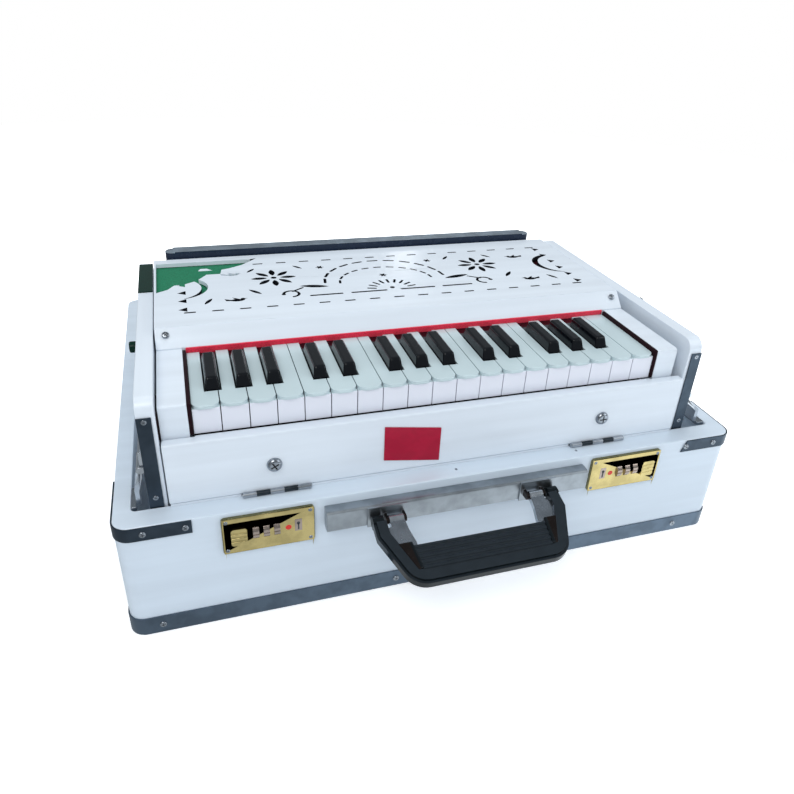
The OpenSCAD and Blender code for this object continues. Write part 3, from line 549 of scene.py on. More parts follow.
def materials():
    """Every finish, made once"""
    if "materials" in SHARED:
        return SHARED["materials"]
    c = colours()
    key_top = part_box("white_key_01")[1].z
    SHARED["materials"] = {
        "paint_x": paint_material("gloss_paint_long", tuple(c.paint), (0.06, 1, 1)),
        "paint_y": paint_material("gloss_paint_deep", tuple(c.paint), (1, 0.06, 1)),
        # Tray: the same white paint drawn darker, as painted shade.
        "paint_tray_shaded": paint_material("gloss_paint_tray_shaded", tuple(c.tray_paint_shaded), (0.06, 1, 1)),
        "steel": metal_material("grey_steel", tuple(c.steel), 0.36),
        # Corner straps and panel strips: the foot strip's grey steel at half its brightness, as painted shade.
        "strap": metal_material("strap_steel", tint(c.steel, 0.5), 0.36),
        "aluminium": metal_material("brushed_aluminium", tuple(c.aluminium), 0.30),
        "bright": metal_material("bright_metal", (0.55, 0.58, 0.62), 0.16, (60, 60, 60), 0.05),
        "screw": metal_material("screw_steel", (0.33, 0.36, 0.40), 0.22, (60, 60, 60), 0.05),
        # Near-black finish for hollows: painted shade inside screw slots and keyholes.
        "recess": plastic_material("screw_recess_painted_shade", (0.05, 0.055, 0.062), 0.6, 0.0),
        "mount": metal_material("mount_metal", (0.045, 0.035, 0.032), 0.22, (60, 60, 60), 0.05),
        "leaf": metal_material("hinge_metal", (0.40, 0.43, 0.47), 0.28, (60, 60, 60), 0.05),
        "brass": metal_material("lock_brass", tuple(c.brass), 0.24, (60, 60, 60), 0.06),
        "gold": metal_material("knob_gold", (0.62, 0.50, 0.22), 0.16, (60, 60, 60), 0.04),
        "nickel": metal_material("dial_nickel", (0.44, 0.36, 0.31), 0.20, (60, 60, 60), 0.04),
        "dark": plastic_material("handle_gloss", tuple(c.handle), 0.11, 0.0, 0.25),
        "grip": plastic_material("grip_rubber", tuple(c.grip), 0.38, 0.0),
        # The key fronts' paler tone is partly painted light, standing in for light on the front faces.
        "white_key": key_material("white_key_cap", tuple(c.white_key), (0.72, 0.74, 0.82), key_top - 0.0029),
        "black_key": plastic_material("black_key_cap", tuple(c.black_key), 0.12, 0.0, 0.35),
        "felt": cloth_material("red_felt", tuple(c.felt)),
        # Maroon felt drawn near black: partly its own colour, partly painted shade for the slots it lies in.
        "felt_shaded": cloth_material("maroon_felt_painted_shade", tuple(c.felt_shaded), sheen=0.04),
        # Cloth under the fretwork: partly its own maroon, partly painted shade, darkened to near black without
        # sheen for the space under the board.
        "under": cloth_material("maroon_grille_cloth_shaded", (0.030, 0.001, 0.006), 0.0014, 0.0),
        # Near-black walls of the fretwork's openings: painted shade.
        "opening_shade": plastic_material("opening_painted_shade", (0.012, 0.014, 0.020), 0.7, 0.0, 0.1),
        "bellows": cloth_material("bellows_cloth", (0.10, 0.004, 0.014), 0.0011),
        "lining": cloth_material("green_cloth", tuple(c.lining), 0.0012, 0.05),
        "cap": plastic_material("green_black_cap", (0.003, 0.022, 0.015), 0.2, 0.0, 0.12),
        "plate": plastic_material("plate_enamel", tuple(c.plate), 0.30, 0.0),
        # Dark navy on the pumping board: painted shade for its shadowed faces.
        "board_shade": plastic_material("pumping_board_painted_shade", (0.008, 0.018, 0.042), 0.25, 0.0),
        "channel": metal_material("channel_metal", (0.52, 0.60, 0.68), 0.42, (4, 400, 400), 0.08),
        # Dark copy of the hinge steel for the moving halves: painted shade for the dark stripes along the barrels.
        "hinge_painted_shade": metal_material("hinge_barrel_painted_shade", (0.05, 0.06, 0.07), 0.3, (60, 60, 60), 0.05),
        "wood": paint_material("bare_wood", (0.42, 0.28, 0.15), (1, 0.1, 1)),
        "red": plastic_material("red_enamel", (0.62, 0.02, 0.008), 0.25, 0.4),
    }
    return SHARED["materials"]


# Stage

class HARMONIUM_OT_stage(bpy.types.Operator):
    """Adds the floor, the lamps, the world and the camera"""

    bl_idname = "harmonium.stage"
    bl_label = "Stage"

    def floor(self):
        """White floor that keeps the soft shadow and fades to pure white away from the object"""
        deselect()
        bpy.ops.mesh.primitive_circle_add(vertices=96, radius=2.4, fill_type="NGON", location=(0, 0, 0))
        floor = bpy.context.active_object
        floor.name = "floor"
        material = new_material("pale_floor", (0.90, 0.92, 0.95), 0.9, specular=0.1)
        nodes = material.node_tree.nodes
        path = node(material, "ShaderNodeLightPath")
        coordinates = node(material, "ShaderNodeTexCoord")
        distance = node(material, "ShaderNodeVectorMath", operation="LENGTH")
        link(material, coordinates, "Object", distance, 0)
        fade = node(material, "ShaderNodeMapRange")
        for name, value in (("From Min", 0.40), ("From Max", 0.75), ("To Min", 0.42), ("To Max", 1.3)):
            fade.inputs[name].default_value = value
        link(material, distance, "Value", fade, "Value")
        seen = node(material, "ShaderNodeMath", operation="MULTIPLY")
        link(material, fade, "Result", seen, 0)
        link(material, path, "Is Camera Ray", seen, 1)
        glow = node(material, "ShaderNodeEmission")
        link(material, seen, "Value", glow, "Strength")
        lit = node(material, "ShaderNodeAddShader")
        link(material, nodes["Principled BSDF"], "BSDF", lit, 0)
        link(material, glow, "Emission", lit, 1)
        across = node(material, "ShaderNodeSeparateXYZ")
        link(material, coordinates, "Object", across, "Vector")
        side = node(material, "ShaderNodeMapRange")
        for name, value in (("From Min", -0.4), ("From Max", 0.6), ("To Min", 0.36), ("To Max", 1.9)):
            side.inputs[name].default_value = value
        link(material, across, "X", side, "Value")
        dim = node(material, "ShaderNodeEmission")
        dim.inputs["Color"].default_value = (0.88, 0.95, 1.0, 1)
        link(material, side, "Result", dim, "Strength")
        mix = node(material, "ShaderNodeMixShader")
        link(material, path, "Is Glossy Ray", mix, 0)
        link(material, lit, "Shader", mix, 1)
        link(material, dim, "Emission", mix, 2)
        link(material, mix, "Shader", nodes["Material Output"], "Surface")
        floor.data.materials.append(material)
        place(floor)

    def world(self, scene, strength):
        """Cool even light, white to the camera, and a dim room with a bright ceiling in reflections"""
        world = bpy.data.worlds.new("studio")
        scene.world = world
        world.use_nodes = True
        tree = world.node_tree
        background = tree.nodes["Background"]
        background.inputs["Color"].default_value = (0.90, 0.955, 1.0, 1)
        background.inputs["Strength"].default_value = 0.62 * strength
        path = tree.nodes.new("ShaderNodeLightPath")
        coordinates = tree.nodes.new("ShaderNodeTexCoord")
        part = tree.nodes.new("ShaderNodeSeparateXYZ")
        tree.links.new(coordinates.outputs["Generated"], part.inputs[0])
        rise = tree.nodes.new("ShaderNodeMapRange")
        for name, value in (("From Min", 0.05), ("From Max", 0.85), ("To Min", 0.30), ("To Max", 0.36)):
            rise.inputs[name].default_value = value
        tree.links.new(part.outputs["Z"], rise.inputs["Value"])
        room = tree.nodes.new("ShaderNodeBackground")
        room.inputs["Color"].default_value = (0.86, 0.94, 1.0, 1)
        tree.links.new(rise.outputs["Result"], room.inputs["Strength"])
        glossy = tree.nodes.new("ShaderNodeMixShader")
        tree.links.new(path.outputs["Is Glossy Ray"], glossy.inputs[0])
        tree.links.new(background.outputs[0], glossy.inputs[1])
        tree.links.new(room.outputs[0], glossy.inputs[2])
        seen = tree.nodes.new("ShaderNodeBackground")
        seen.inputs["Color"].default_value = (1, 1, 1, 1)
        either = tree.nodes.new("ShaderNodeMath")
        either.operation = "MAXIMUM"
        tree.links.new(path.outputs["Is Camera Ray"], either.inputs[0])
        tree.links.new(path.outputs["Is Transmission Ray"], either.inputs[1])
        mix = tree.nodes.new("ShaderNodeMixShader")
        tree.links.new(either.outputs[0], mix.inputs[0])
        tree.links.new(glossy.outputs[0], mix.inputs[1])
        tree.links.new(seen.outputs[0], mix.inputs[2])
        tree.links.new(mix.outputs[0], tree.nodes["World Output"].inputs["Surface"])

    def execute(self, context):
        scene = context.scene
        scene.view_settings.view_transform = "Standard"
        strength = sizes().light
        self.floor()
        self.world(scene, strength)
        lamps = (
            ("key_lamp", (-0.9, -1.3, 1.9), 1.3, 20, (1.0, 0.99, 0.97)),
            ("fill_lamp", (1.6, -0.9, 1.1), 1.4, 9, (0.93, 0.97, 1.0)),
            ("top_lamp", (0.2, 0.9, 2.1), 1.5, 14, (1.0, 1.0, 1.0)),
            ("glint_lamp", (0.56, 1.72, 0.80), 0.12, 0.15, (1.0, 1.0, 1.0)),
        )
        for name, at, size, power, colour in lamps:
            deselect()
            bpy.ops.object.light_add(type="AREA", location=at)
            lamp = context.active_object
            lamp.name = name
            lamp.data.shape = "DISK"
            lamp.data.size = size
            lamp.data.energy = power * strength
            lamp.data.color = colour
            lamp.visible_glossy = name != "top_lamp"
            lamp.rotation_euler = (-Vector(at)).to_track_quat("-Z", "Y").to_euler()

        deselect()
        bpy.ops.object.camera_add(location=(-0.2119, -0.6373, 0.4851))
        camera = context.active_object
        camera.rotation_euler = [math.radians(a) for a in (60.812, -2.689, -17.577)]
        camera.data.sensor_width = 36
        camera.data.lens = sizes().lens
        camera.data.shift_x = -0.0128
        camera.data.shift_y = -0.0225
        camera.data.clip_start = 0.01
        scene.camera = camera
        return {"FINISHED"}


# Painted boards

class HARMONIUM_OT_tray(bpy.types.Operator):
    """Makes the white tray with its rounded rim"""

    bl_idname = "harmonium.tray"
    bl_label = "Tray"

    def execute(self, context):
        m = materials()
        piece = softened("case_tray", sizes().board_round, 3)
        finish(piece, "tray", m["paint_tray_shaded"], "case", "white_paint", "case_tray")
        return {"FINISHED"}


class HARMONIUM_OT_boards(bpy.types.Operator):
    """Makes the front board, end panels, body, name rail and fretwork board"""

    bl_idname = "harmonium.boards"
    bl_label = "Boards"

    def execute(self, context):
        m = materials()
        r = sizes().board_round
        finish(softened("front_board", r * 1.3, 3), "front_board_painted", m["paint_x"],
               "front_flap", "white_paint", "front_board")
        finish(softened("side_panels", r * 1.5, 3), "end_panels", m["paint_y"],
               "instrument", "white_paint", "side_panels")
        finish(softened("body_case", r, 3), "body_boards", m["paint_x"],
               "instrument", "white_paint", "body_case")
        finish(softened("name_rail", r * 0.7, 3), "name_rail_painted", m["paint_x"],
               "instrument", "white_paint", "name_rail")
        keys_left, keys_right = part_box("white_key_01")[0].x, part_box("white_key_19")[1].x
        flap_low, flap_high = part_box("front_board")
        lip = block(((keys_left + keys_right) / 2, flap_high.y - 0.0003, flap_high.z - 0.0033),
                    (keys_right - keys_left, 0.0024, 0.006), 0.0003)
        finish(lip, "board_lip", m["paint_x"], "front_flap", "white_paint")
        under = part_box("case_tray")[1].z + 0.0001
        tall = flap_low.z - under
        fittings = loose("board_fittings")
        hinges = [span(one) for one in fittings if span(one)[1].x > 0.03]
        for one in fittings:
            bpy.data.objects.remove(one)
        edges = [flap_low.x + 0.001]
        for at, size in sorted(hinges, key=lambda one: one[0].x):
            edges += [at.x - size.x / 2 - 0.0008, at.x + size.x / 2 + 0.0008]
        edges.append(flap_high.x - 0.001)
        strips = [block(((a + b) / 2, flap_low.y + 0.0034, under + tall / 2), (b - a, 0.006, tall))
                  for a, b in zip(edges[::2], edges[1::2])]
        finish(joined(strips), "board_foot", m["paint_x"], "front_flap", "white_paint")
        board = finish(softened("fret_board", r * 0.3, 1, 50), "fretwork_board", m["paint_x"],
                       "instrument", "white_paint", "fret_board")
        # The side walls of the small openings are coloured near black: painted shade inside the fretwork's holes.
        board.data.materials.append(m["opening_shade"])
        low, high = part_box("fret_board")
        cut_x, cut_y = low.x + 0.09, high.y - 0.085
        for face in board.data.polygons:
            x, y, z = face.center
            inside = low.x + 0.012 < x < high.x - 0.012 and low.y + 0.006 < y < high.y - 0.006
            if inside and abs(face.normal.z) < 0.5 and not (x < cut_x and y > cut_y):
                face.material_index = 1
        frame["nodes"]["reed_action"].data.materials.clear()
        frame["nodes"]["reed_action"].data.materials.append(m["wood"])
        return {"FINISHED"}


class HARMONIUM_OT_metalwork(bpy.types.Operator):
    """Finishes the trim, the board's hinges, the handle rail and its mounts"""

    bl_idname = "harmonium.metalwork"
    bl_label = "Metalwork"

    def execute(self, context):
        m = materials()
        r = sizes().metal_round
        solids = loose("case_trim")
        heads = screws_for(solids, lambda at, size: max(size) < 0.012)
        finish(heads, "trim_screws", None, "case", "grey_steel", "case_trim")
        tray_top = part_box("case_tray")[1].z
        ledge_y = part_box("case_tray")[0].y + 0.0105
        pins = [screw((x, ledge_y, tray_top), 0.0013, 0.0004, (0, 0, 1), x * 9) for x in (-0.0026, 0.1185)]
        finish(joined(pins), "ledge_screws", None, "case", "grey_steel")
        straps = take(solids, lambda at, size: at.z > 0.05)
        # The corner straps get the darker copy of the grey steel: painted shade.
        finish(rounded(straps, r), "corner_straps", m["strap"], "case", "grey_steel", "case_trim")
        finish(rounded(joined(solids), r), "foot_strip", m["steel"], "case", "grey_steel", "case_trim")

        solids = loose("tray_fittings")
        rail = take(solids, lambda at, size: size.x > 0.2)
        finish(rounded(rail, r * 1.5, 3), "handle_rail", m["aluminium"], "case", "grey_steel", "tray_fittings")
        hinges = take(solids, lambda at, size: at.z > tray_top - 0.001)
        finish(rounded(hinges, r * 0.6), "hinges_fixed", m["leaf"], "case", "bright_metal", "tray_fittings")
        mounts = take(solids, lambda at, size: abs(at.x) < 0.12)
        finish(rounded(mounts, r * 2, 3), "handle_mounts", m["mount"], "case", "grey_steel", "tray_fittings")
        mounts.data.materials.append(m["aluminium"])
        plate_y = span(mounts)[0].y + span(mounts)[1].y / 2 - 0.0018
        for face in mounts.data.polygons:
            if face.center.y > plate_y:
                face.material_index = 1
        finish(rounded(joined(solids), r * 2, 3), "leg_catches", m["screw"], "case", "grey_steel", "tray_fittings")

        solids = loose("board_fittings")
        heads = screws_for(solids, lambda at, size: at.z > tray_top + 0.012)
        finish(heads, "board_screws", None, "front_flap", "bright_metal", "board_fittings")
        # The moving hinge halves are drawn in the dark copy of the hinge steel: painted shade.
        finish(rounded(joined(solids), r * 0.6), "hinges_moving", m["hinge_painted_shade"], "front_flap", "bright_metal",
               "board_fittings")
        finish(rounded(copied("nameplate"), r), "bare_plate", m["plate"], "front_flap", "maroon_plate", "nameplate")
        return {"FINISHED"}


class HARMONIUM_OT_panel_parts(bpy.types.Operator):
    """Finishes what the end panels carry: strips, cap, knobs, leg brackets, bellows hinges, and the lift legs"""

    bl_idname = "harmonium.panel_parts"
    bl_label = "Panel parts"

    def execute(self, context):
        m = materials()
        r = sizes().metal_round
        panel_low, panel_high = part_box("side_panels")
        solids = loose("panel_fittings")
        strips = take(solids, lambda at, size: size.z > 0.08)
        finish(rounded(strips, r), "panel_strips", m["strap"], "instrument", "grey_steel", "panel_fittings")
        cap = take(solids, lambda at, size: size.y > 0.06)
        finish(rounded(cap, r * 1.5, 3), "panel_cap", m["cap"], "instrument", "grey_steel", "panel_fittings")
        heads = screws_for(solids, lambda at, size: at.y < panel_low.y + 0.002 and max(size) < 0.008, 1.0)
        finish(heads, "strip_screws", None, "instrument", "grey_steel", "panel_fittings")
        made = []
        for one in [one for one in solids if max(span(one)[1]) < 0.007]:
            middle = span(one)[0]
            solids.remove(one)
            made.append(screw(middle + Vector((0, 0, 0.0012)), 0.0032, 0.0012, (0, -0.7, 0.7), 0.8 + len(made)))
            bpy.data.objects.remove(one)
        finish(joined(made), "rail_screws", None, "instrument", "grey_steel", "panel_fittings")
        knobs = take(solids, lambda at, size: at.z > panel_high.z - 0.02)
        finish(rounded(knobs, 0.0015, 4), "panel_knobs", m["cap"], "instrument", "black_plastic", "panel_fittings")
        hinges = take(solids, lambda at, size: at.y > panel_high.y - 0.02)
        finish(rounded(hinges, r * 0.6), "bellows_hinges_fixed", m["leaf"], "instrument", "bright_metal",
               "panel_fittings")
        finish(rounded(joined(solids), r * 1.5, 3), "leg_brackets", m["bright"], "instrument", "grey_steel",
               "panel_fittings")
        for side in ("left", "right"):
            finish(softened(f"lift_leg_{side}", r * 2.5, 3), f"leg_{side}_steel", m["bright"], f"leg_{side}",
                   "bright_metal", f"lift_leg_{side}")
        return {"FINISHED"}


class HARMONIUM_OT_locks(bpy.types.Operator):
    """Finishes the two locks: faces, rims, screws, key windows, red marks, sliders and dials"""

    bl_idname = "harmonium.locks"
    bl_label = "Locks"

    mark_in = 0.0535
    key_in = 0.0618

    def rim(self, middle, size):
        """Raised rim round a lock's face"""
        piece = block(middle, (size.x - 0.0012, 0.0012, size.z - 0.0012))
        only(piece)
        bpy.ops.object.mode_set(mode="EDIT")
        bpy.ops.mesh.select_all(action="DESELECT")
        bpy.ops.object.mode_set(mode="OBJECT")
        for face in piece.data.polygons:
            face.select = abs(face.normal.y) > 0.9
        bpy.ops.object.mode_set(mode="EDIT")
        bpy.ops.mesh.inset(thickness=0.0011, use_individual=True)
        bpy.ops.mesh.bridge_edge_loops()
        bpy.ops.object.mode_set(mode="OBJECT")
        return rounded(piece, 0.0003, 2)

    def execute(self, context):
        m = materials()
        r = sizes().metal_round
        solids = loose("lock_plates")
        heads = screws_for(solids, lambda at, size: max(size) < 0.008)
        finish(heads, "lock_screws", None, "case", "olive_brass", "lock_plates")
        for plate in solids:
            middle, size = span(plate)
            name = "left" if middle.x < 0 else "right"
            out = -1 if middle.x < 0 else 1
            face = middle.y - size.y / 2
            outer = middle.x + out * size.x / 2
            finish(rounded(plate, r), f"lock_face_{name}", m["brass"], "case", "olive_brass", "lock_plates")
            rim = self.rim(Vector((middle.x, face, middle.z)), size)
            finish(rim, f"lock_rim_{name}", m["gold"], "case", "olive_brass")
            mark = disc((outer - out * self.mark_in, face - 0.0001, middle.z), 0.0026, 0.0012, (0, -1, 0), 0.0004)
            finish(mark, f"lock_mark_{name}", m["red"], "case", "olive_brass")
            key_x = outer - out * self.key_in
            window = block((key_x, face - 0.0001, middle.z + 0.001), (0.0062, 0.0012, 0.0125), 0.0004, 3)
            finish(window, f"lock_window_{name}", m["nickel"], "case", "olive_brass")
            # The keyhole is a near-black slot and round standing just proud of the lock face: painted shade for the
            # hole.
            slots = [block((key_x, face - 0.0006, middle.z - 0.0005), (0.0012, 0.0006, 0.0062)),
                     disc((key_x, face - 0.0006, middle.z + 0.003), 0.0014, 0.0006, (0, -1, 0))]
            finish(joined(slots), f"lock_keyhole_{name}", m["recess"], "case", "olive_brass")
            finish(softened(f"lock_slider_{name}", r * 1.3, 3), f"lock_knob_{name}", m["gold"], f"slider_{name}",
                   "olive_brass", f"lock_slider_{name}")
        for i in range(1, 7):
            finish(softened(f"lock_dial_{i}", r * 0.6), f"dial_wheel_{i}", m["nickel"], f"dial_{i}",
                   "olive_brass", f"lock_dial_{i}")
        return {"FINISHED"}


class HARMONIUM_OT_keys(bpy.types.Operator):
    """Makes the white and black keys"""

    bl_idname = "harmonium.keys"
    bl_label = "Keys"

    block_len = 0.0525
    slope = 0.0042
    narrower = 0.0016

    def black_key(self, low, high):
        """Glossy block with a sloping front and round edges, on its stick and its pallet end"""
        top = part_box("white_key_01")[1].z
        wide = high.x - low.x
        middle = (low.x + high.x) / 2
        cap = block((middle, low.y + self.block_len / 2, (top - 0.0015 + high.z) / 2),
                    (wide, self.block_len, high.z - top + 0.0015))
        for vertex in cap.data.vertices:
            if vertex.co.z > top:
                vertex.co.x += self.narrower * (1 if vertex.co.x < middle else -1)
                front = vertex.co.y < low.y + self.block_len / 2
                vertex.co.y += self.slope if front else -0.5 * self.slope
        round_edges(cap, lambda at: True, sizes().block_round, 6)
        rounded(cap, 0.0002)
        stick = block((middle, (low.y + high.y) / 2 + 0.0005, (low.z + 0.0097 + top - 0.0012) / 2),
                      (wide, high.y - low.y - 0.001, top - 0.0012 - low.z - 0.0097), 0.0006)
        pallet = block((middle, high.y - 0.022, low.z + 0.0055), (wide, 0.044, 0.011), 0.0005)
        return joined([cap, stick, pallet])

    def execute(self, context):
        m = materials()
        r = sizes().key_round
        for name in WHITE_KEYS:
            finish(softened(name, r, 3), name.replace("key", "cap"), m["white_key"],
                   name.replace("_key", ""), "white_key", name)
        for name in BLACK_KEYS:
            finish(self.black_key(*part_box(name)), name.replace("key", "cap"), m["black_key"],
                   name.replace("_key", ""), "black_key", name)
        return {"FINISHED"}


class HARMONIUM_OT_handle(bpy.types.Operator):
    """Makes the carrying handle: gloss frame with steel brackets, and the ribbed grip"""

    bl_idname = "harmonium.handle"
    bl_label = "Handle"

    thick = 0.011
    tilt = 15
    reach = 0.0655
    knee = 0.018
    taper = 21
    bar = 0.011
    grip_in = 0.031
    frame_round = 0.0014

    def execute(self, context):
        m = materials()
        self.low, self.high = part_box("handle")
        piece = copied("handle")
        round_edges(piece, self.on_frame, self.frame_round, 3, 30)
        finish(rounded(piece, 0.0006, 2), "handle_frame", m["dark"], "handle_body", "black_plastic", "handle")
        piece.data.materials.append(m["grip"])
        piece.data.materials.append(m["screw"])
        piece.data.materials.append(m["bright"])
        for face in piece.data.polygons:
            out, side, arm = self.local(face.center)
            if out < self.grip_in and side < arm - 0.0008:
                face.material_index = 3 if out < 0.0075 else 2
            elif out >= self.grip_in - 0.0005 and side < arm and out < self.reach - self.bar:
                face.material_index = 1
        webs = []
        ends = []
        for side in (-1, 1):
            near, far = self.grip_in - 0.004, self.reach - self.bar - 0.002
            webs.append(self.web(side, near, far))
            ends.append(rod(self.world(side * (self.arm(near) - 0.0105), near, 0.0052),
                            self.world(side * (self.arm(far) - 0.0035), far, 0.0052), 0.0016))
        finish(joined(webs), "handle_webs", m["mount"], "handle_body", "grey_steel")
        finish(joined(ends), "grip_ends", m["dark"], "handle_body", "black_plastic")
        return {"FINISHED"}

    def arm(self, out):
        """Distance of an arm's inner edge from the middle"""
        half = (self.high.x - self.low.x) / 2
        return half - max(0, out - self.knee) * math.tan(math.radians(self.taper)) - self.bar

    def world(self, side, out, up):
        """A point from its place on the handle: sideways, out from the pivots, and up from its middle plane"""
        tilt = math.radians(self.tilt)
        middle = (self.low.x + self.high.x) / 2
        y = self.high.y - self.thick / 2 - out * math.cos(tilt) - up * math.sin(tilt)
        z = self.high.z - self.thick / 2 - out * math.sin(tilt) + up * math.cos(tilt)
        return Vector((middle + side, y, z))

    def web(self, side, near, far):
        """Steel web that tapers along an arm, from the bracket to the grip's corner"""
        piece = block((0, 0, 0), (1, 1, 1))
        for vertex in piece.data.vertices:
            out = far if vertex.co.y > 0 else near
            wide = 0.0045 if vertex.co.y > 0 else 0.010
            inner = self.arm(out) - 0.0002 - (wide if vertex.co.x < 0 else 0)
            vertex.co = self.world(side * inner, out, 0.0062 if vertex.co.z > 0 else 0.0050)
        only(piece)
        bpy.ops.object.mode_set(mode="EDIT")
        bpy.ops.mesh.select_all(action="SELECT")
        bpy.ops.mesh.normals_make_consistent(inside=False)
        bpy.ops.object.mode_set(mode="OBJECT")
        return rounded(piece, 0.0003)

    def local(self, point):
        """Distance out from the pivots, distance from the middle, and the arm's inner edge there"""
        middle = (self.low.x + self.high.x) / 2
        tilt = math.radians(self.tilt)
        down = self.high.z - self.thick / 2 - point.z
        out = (self.high.y - self.thick / 2 - point.y) * math.cos(tilt) + down * math.sin(tilt)
        return out, abs(point.x - middle), self.arm(out)

    def on_frame(self, point):
        """Whether a point lies on the frame and not on the brackets or the grip"""
        out, side, arm = self.local(point)
        return out > self.knee * 0.6 and (side > arm - 0.0004 or out > self.reach - self.bar - 0.0004)


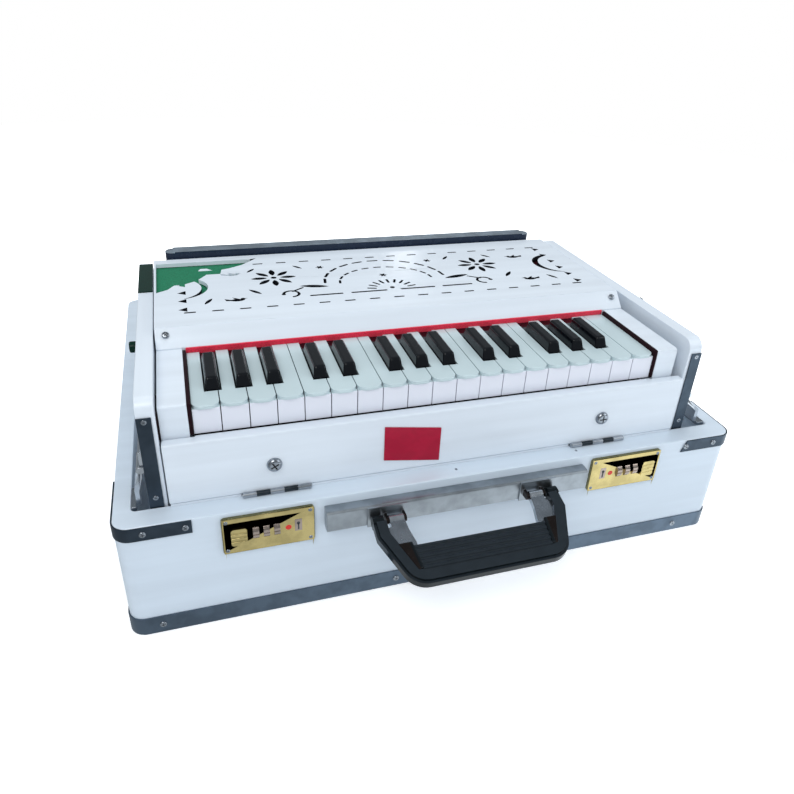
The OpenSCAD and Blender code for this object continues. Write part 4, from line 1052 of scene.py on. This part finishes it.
class HARMONIUM_OT_soft(bpy.types.Operator):
    """Makes the felts, the cloths under the fretwork, the bellows cloth and the pumping board"""

    bl_idname = "harmonium.soft"
    bl_label = "Felts and bellows"

    def felt(self, middle, size):
        """Felt strip with soft edges and an uneven nap"""
        piece = block(middle, size)
        only(piece)
        bpy.ops.object.mode_set(mode="EDIT")
        bpy.ops.mesh.select_all(action="SELECT")
        bpy.ops.mesh.bevel(offset=min(size) * 0.3, segments=3, affect="EDGES")
        bpy.ops.object.mode_set(mode="OBJECT")
        smooth(piece, 60)
        return piece

    def sheet(self, low, high, z, cuts, sag):
        """Thin cloth stretched level, with a slight sag"""
        deselect()
        bpy.ops.mesh.primitive_grid_add(x_subdivisions=cuts, y_subdivisions=cuts // 2, size=1,
                                        location=((low.x + high.x) / 2, (low.y + high.y) / 2, z))
        piece = bpy.context.active_object
        piece.scale = (high.x - low.x, high.y - low.y, 1)
        place(piece)
        for vertex in piece.data.vertices:
            u = (vertex.co.x - low.x) / (high.x - low.x)
            v = (vertex.co.y - low.y) / (high.y - low.y)
            ripple = 0.25 * math.sin(23 * u + 5 * v) * math.sin(9 * v)
            vertex.co.z -= sag * (math.sin(math.pi * u) * math.sin(math.pi * v) + ripple * math.sin(math.pi * u))
        thick = piece.modifiers.new("thickness", "SOLIDIFY")
        thick.thickness = 0.0005
        apply_modifiers(piece)
        smooth(piece, 60)
        return piece

    def execute(self, context):
        m = materials()
        keys_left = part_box("white_key_01")[0].x
        rail_low, rail_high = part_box("name_rail")
        for i, solid in enumerate(loose("felt_strips"), 1):
            middle, size = span(solid)
            bpy.data.objects.remove(solid)
            behind = size.x > 0.3 and middle.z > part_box("white_key_01")[1].z - 0.004
            # Felts behind the keys are red; the others are drawn near black, as painted shade for the slots they
            # lie in.
            piece = finish(self.felt(middle, size), f"felt_{i}", m["felt"] if behind else m["felt_shaded"],
                           "instrument", "red_felt", "felt_strips")

        low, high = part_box("green_lining")
        lining = self.sheet(low, high, high.z - 0.0004, 40, 0.0006)
        finish(lining, "green_cloth", m["lining"], "instrument", "green_cloth", "green_lining")

        # The grille cloth is drawn near black: partly its own maroon, partly painted shade under the board.
        board_low, board_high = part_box("fret_board")
        start = Vector((board_low.x + 0.022, board_low.y + 0.002, 0))
        end = Vector((board_high.x - 0.022, board_high.y - 0.032, 0))
        under = self.sheet(start, end, low.z - 0.0022, 48, 0.001)
        finish(under, "grille_cloth", m["under"], "instrument", "bellows_cloth")

        self.bellows(m)
        self.pumping_board(m)
        return {"FINISHED"}

    def bellows(self, m):
        """Pleated cloth behind the body"""
        low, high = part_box("bellows_folds")
        folds = 6
        deselect()
        bpy.ops.mesh.primitive_cube_add(size=1, location=(low + high) / 2)
        piece = bpy.context.active_object
        piece.scale = high - low
        place(piece)
        only(piece)
        bpy.ops.object.mode_set(mode="EDIT")
        bpy.ops.mesh.select_all(action="SELECT")
        bpy.ops.mesh.subdivide(number_cuts=2 * folds - 1)
        bpy.ops.mesh.select_all(action="DESELECT")
        bpy.ops.object.mode_set(mode="OBJECT")
        for face in piece.data.polygons:
            face.select = abs(face.normal.y) > 0.9
        bpy.ops.object.mode_set(mode="EDIT")
        bpy.ops.mesh.delete(type="FACE")
        bpy.ops.object.mode_set(mode="OBJECT")
        middle = (low + high) / 2
        deep = 0.0055
        for vertex in piece.data.vertices:
            step = round((vertex.co.y - low.y) / (high.y - low.y) * 2 * folds)
            if step % 2 == 0:
                for axis in (0, 2):
                    edge = (high - low)[axis] / 2
                    side = (vertex.co[axis] - middle[axis]) / edge
                    if abs(side) > 0.99:
                        vertex.co[axis] -= deep * (1 if side > 0 else -1)
        thick = piece.modifiers.new("thickness", "SOLIDIFY")
        thick.thickness = 0.0006
        rounded(piece, 0.0004, 2)
        finish(piece, "bellows_cloth", m["bellows"], None, "bellows_cloth", "bellows_folds")
        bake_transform(piece)

    def pumping_board(self, m):
        """Board coloured dark navy as painted shade, with a bright channel along its top, small screws and hinge
        halves
        """
        r = sizes().metal_round
        solids = loose("bellows_board")
        finish(rounded(joined(solids), 0.0007, 3), "pumping_board", m["board_shade"], "bellows", "dark_board",
               "bellows_board")
        low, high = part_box("bellows_board")
        piece = bpy.data.objects["pumping_board"]
        piece.data.materials.append(m["channel"])
        for face in piece.data.polygons:
            if face.center.z > high.z - 0.0035 or face.center.z < low.z + 0.010:
                face.material_index = 1


class HARMONIUM_PT_panel(bpy.types.Panel):
    """Shows the sizes, the colours and a button for each building step"""

    bl_label = "Harmonium"
    bl_idname = "HARMONIUM_PT_panel"
    bl_space_type = "VIEW_3D"
    bl_region_type = "UI"
    bl_category = "Harmonium"

    def draw(self, context):
        layout = self.layout
        for group in (context.scene.harmonium_sizes, context.scene.harmonium_colours):
            for name in group.__annotations__:
                layout.prop(group, name)
        for operator in OPERATORS:
            layout.operator(operator.bl_idname)


OPERATORS = (
    HARMONIUM_OT_stage, HARMONIUM_OT_tray, HARMONIUM_OT_boards, HARMONIUM_OT_metalwork,
    HARMONIUM_OT_panel_parts, HARMONIUM_OT_locks, HARMONIUM_OT_keys, HARMONIUM_OT_handle, HARMONIUM_OT_soft,
)
CLASSES = (HarmoniumColours, HarmoniumSizes, *OPERATORS, HARMONIUM_PT_panel)


def register():
    for each in CLASSES:
        bpy.utils.register_class(each)
    bpy.types.Scene.harmonium_colours = bpy.props.PointerProperty(type=HarmoniumColours)
    bpy.types.Scene.harmonium_sizes = bpy.props.PointerProperty(type=HarmoniumSizes)


def unregister():
    del bpy.types.Scene.harmonium_sizes
    del bpy.types.Scene.harmonium_colours
    for each in reversed(CLASSES):
        bpy.utils.unregister_class(each)


def main():
    register()
    bpy.ops.harmonium.stage()
    bpy.ops.harmonium.tray()
    bpy.ops.harmonium.boards()
    bpy.ops.harmonium.metalwork()
    bpy.ops.harmonium.panel_parts()
    bpy.ops.harmonium.locks()
    bpy.ops.harmonium.keys()
    bpy.ops.harmonium.handle()
    bpy.ops.harmonium.soft()
    bpy.data.objects.remove(SHARED.pop("head"))
    deselect()


if __name__ == "__main__":
    main()
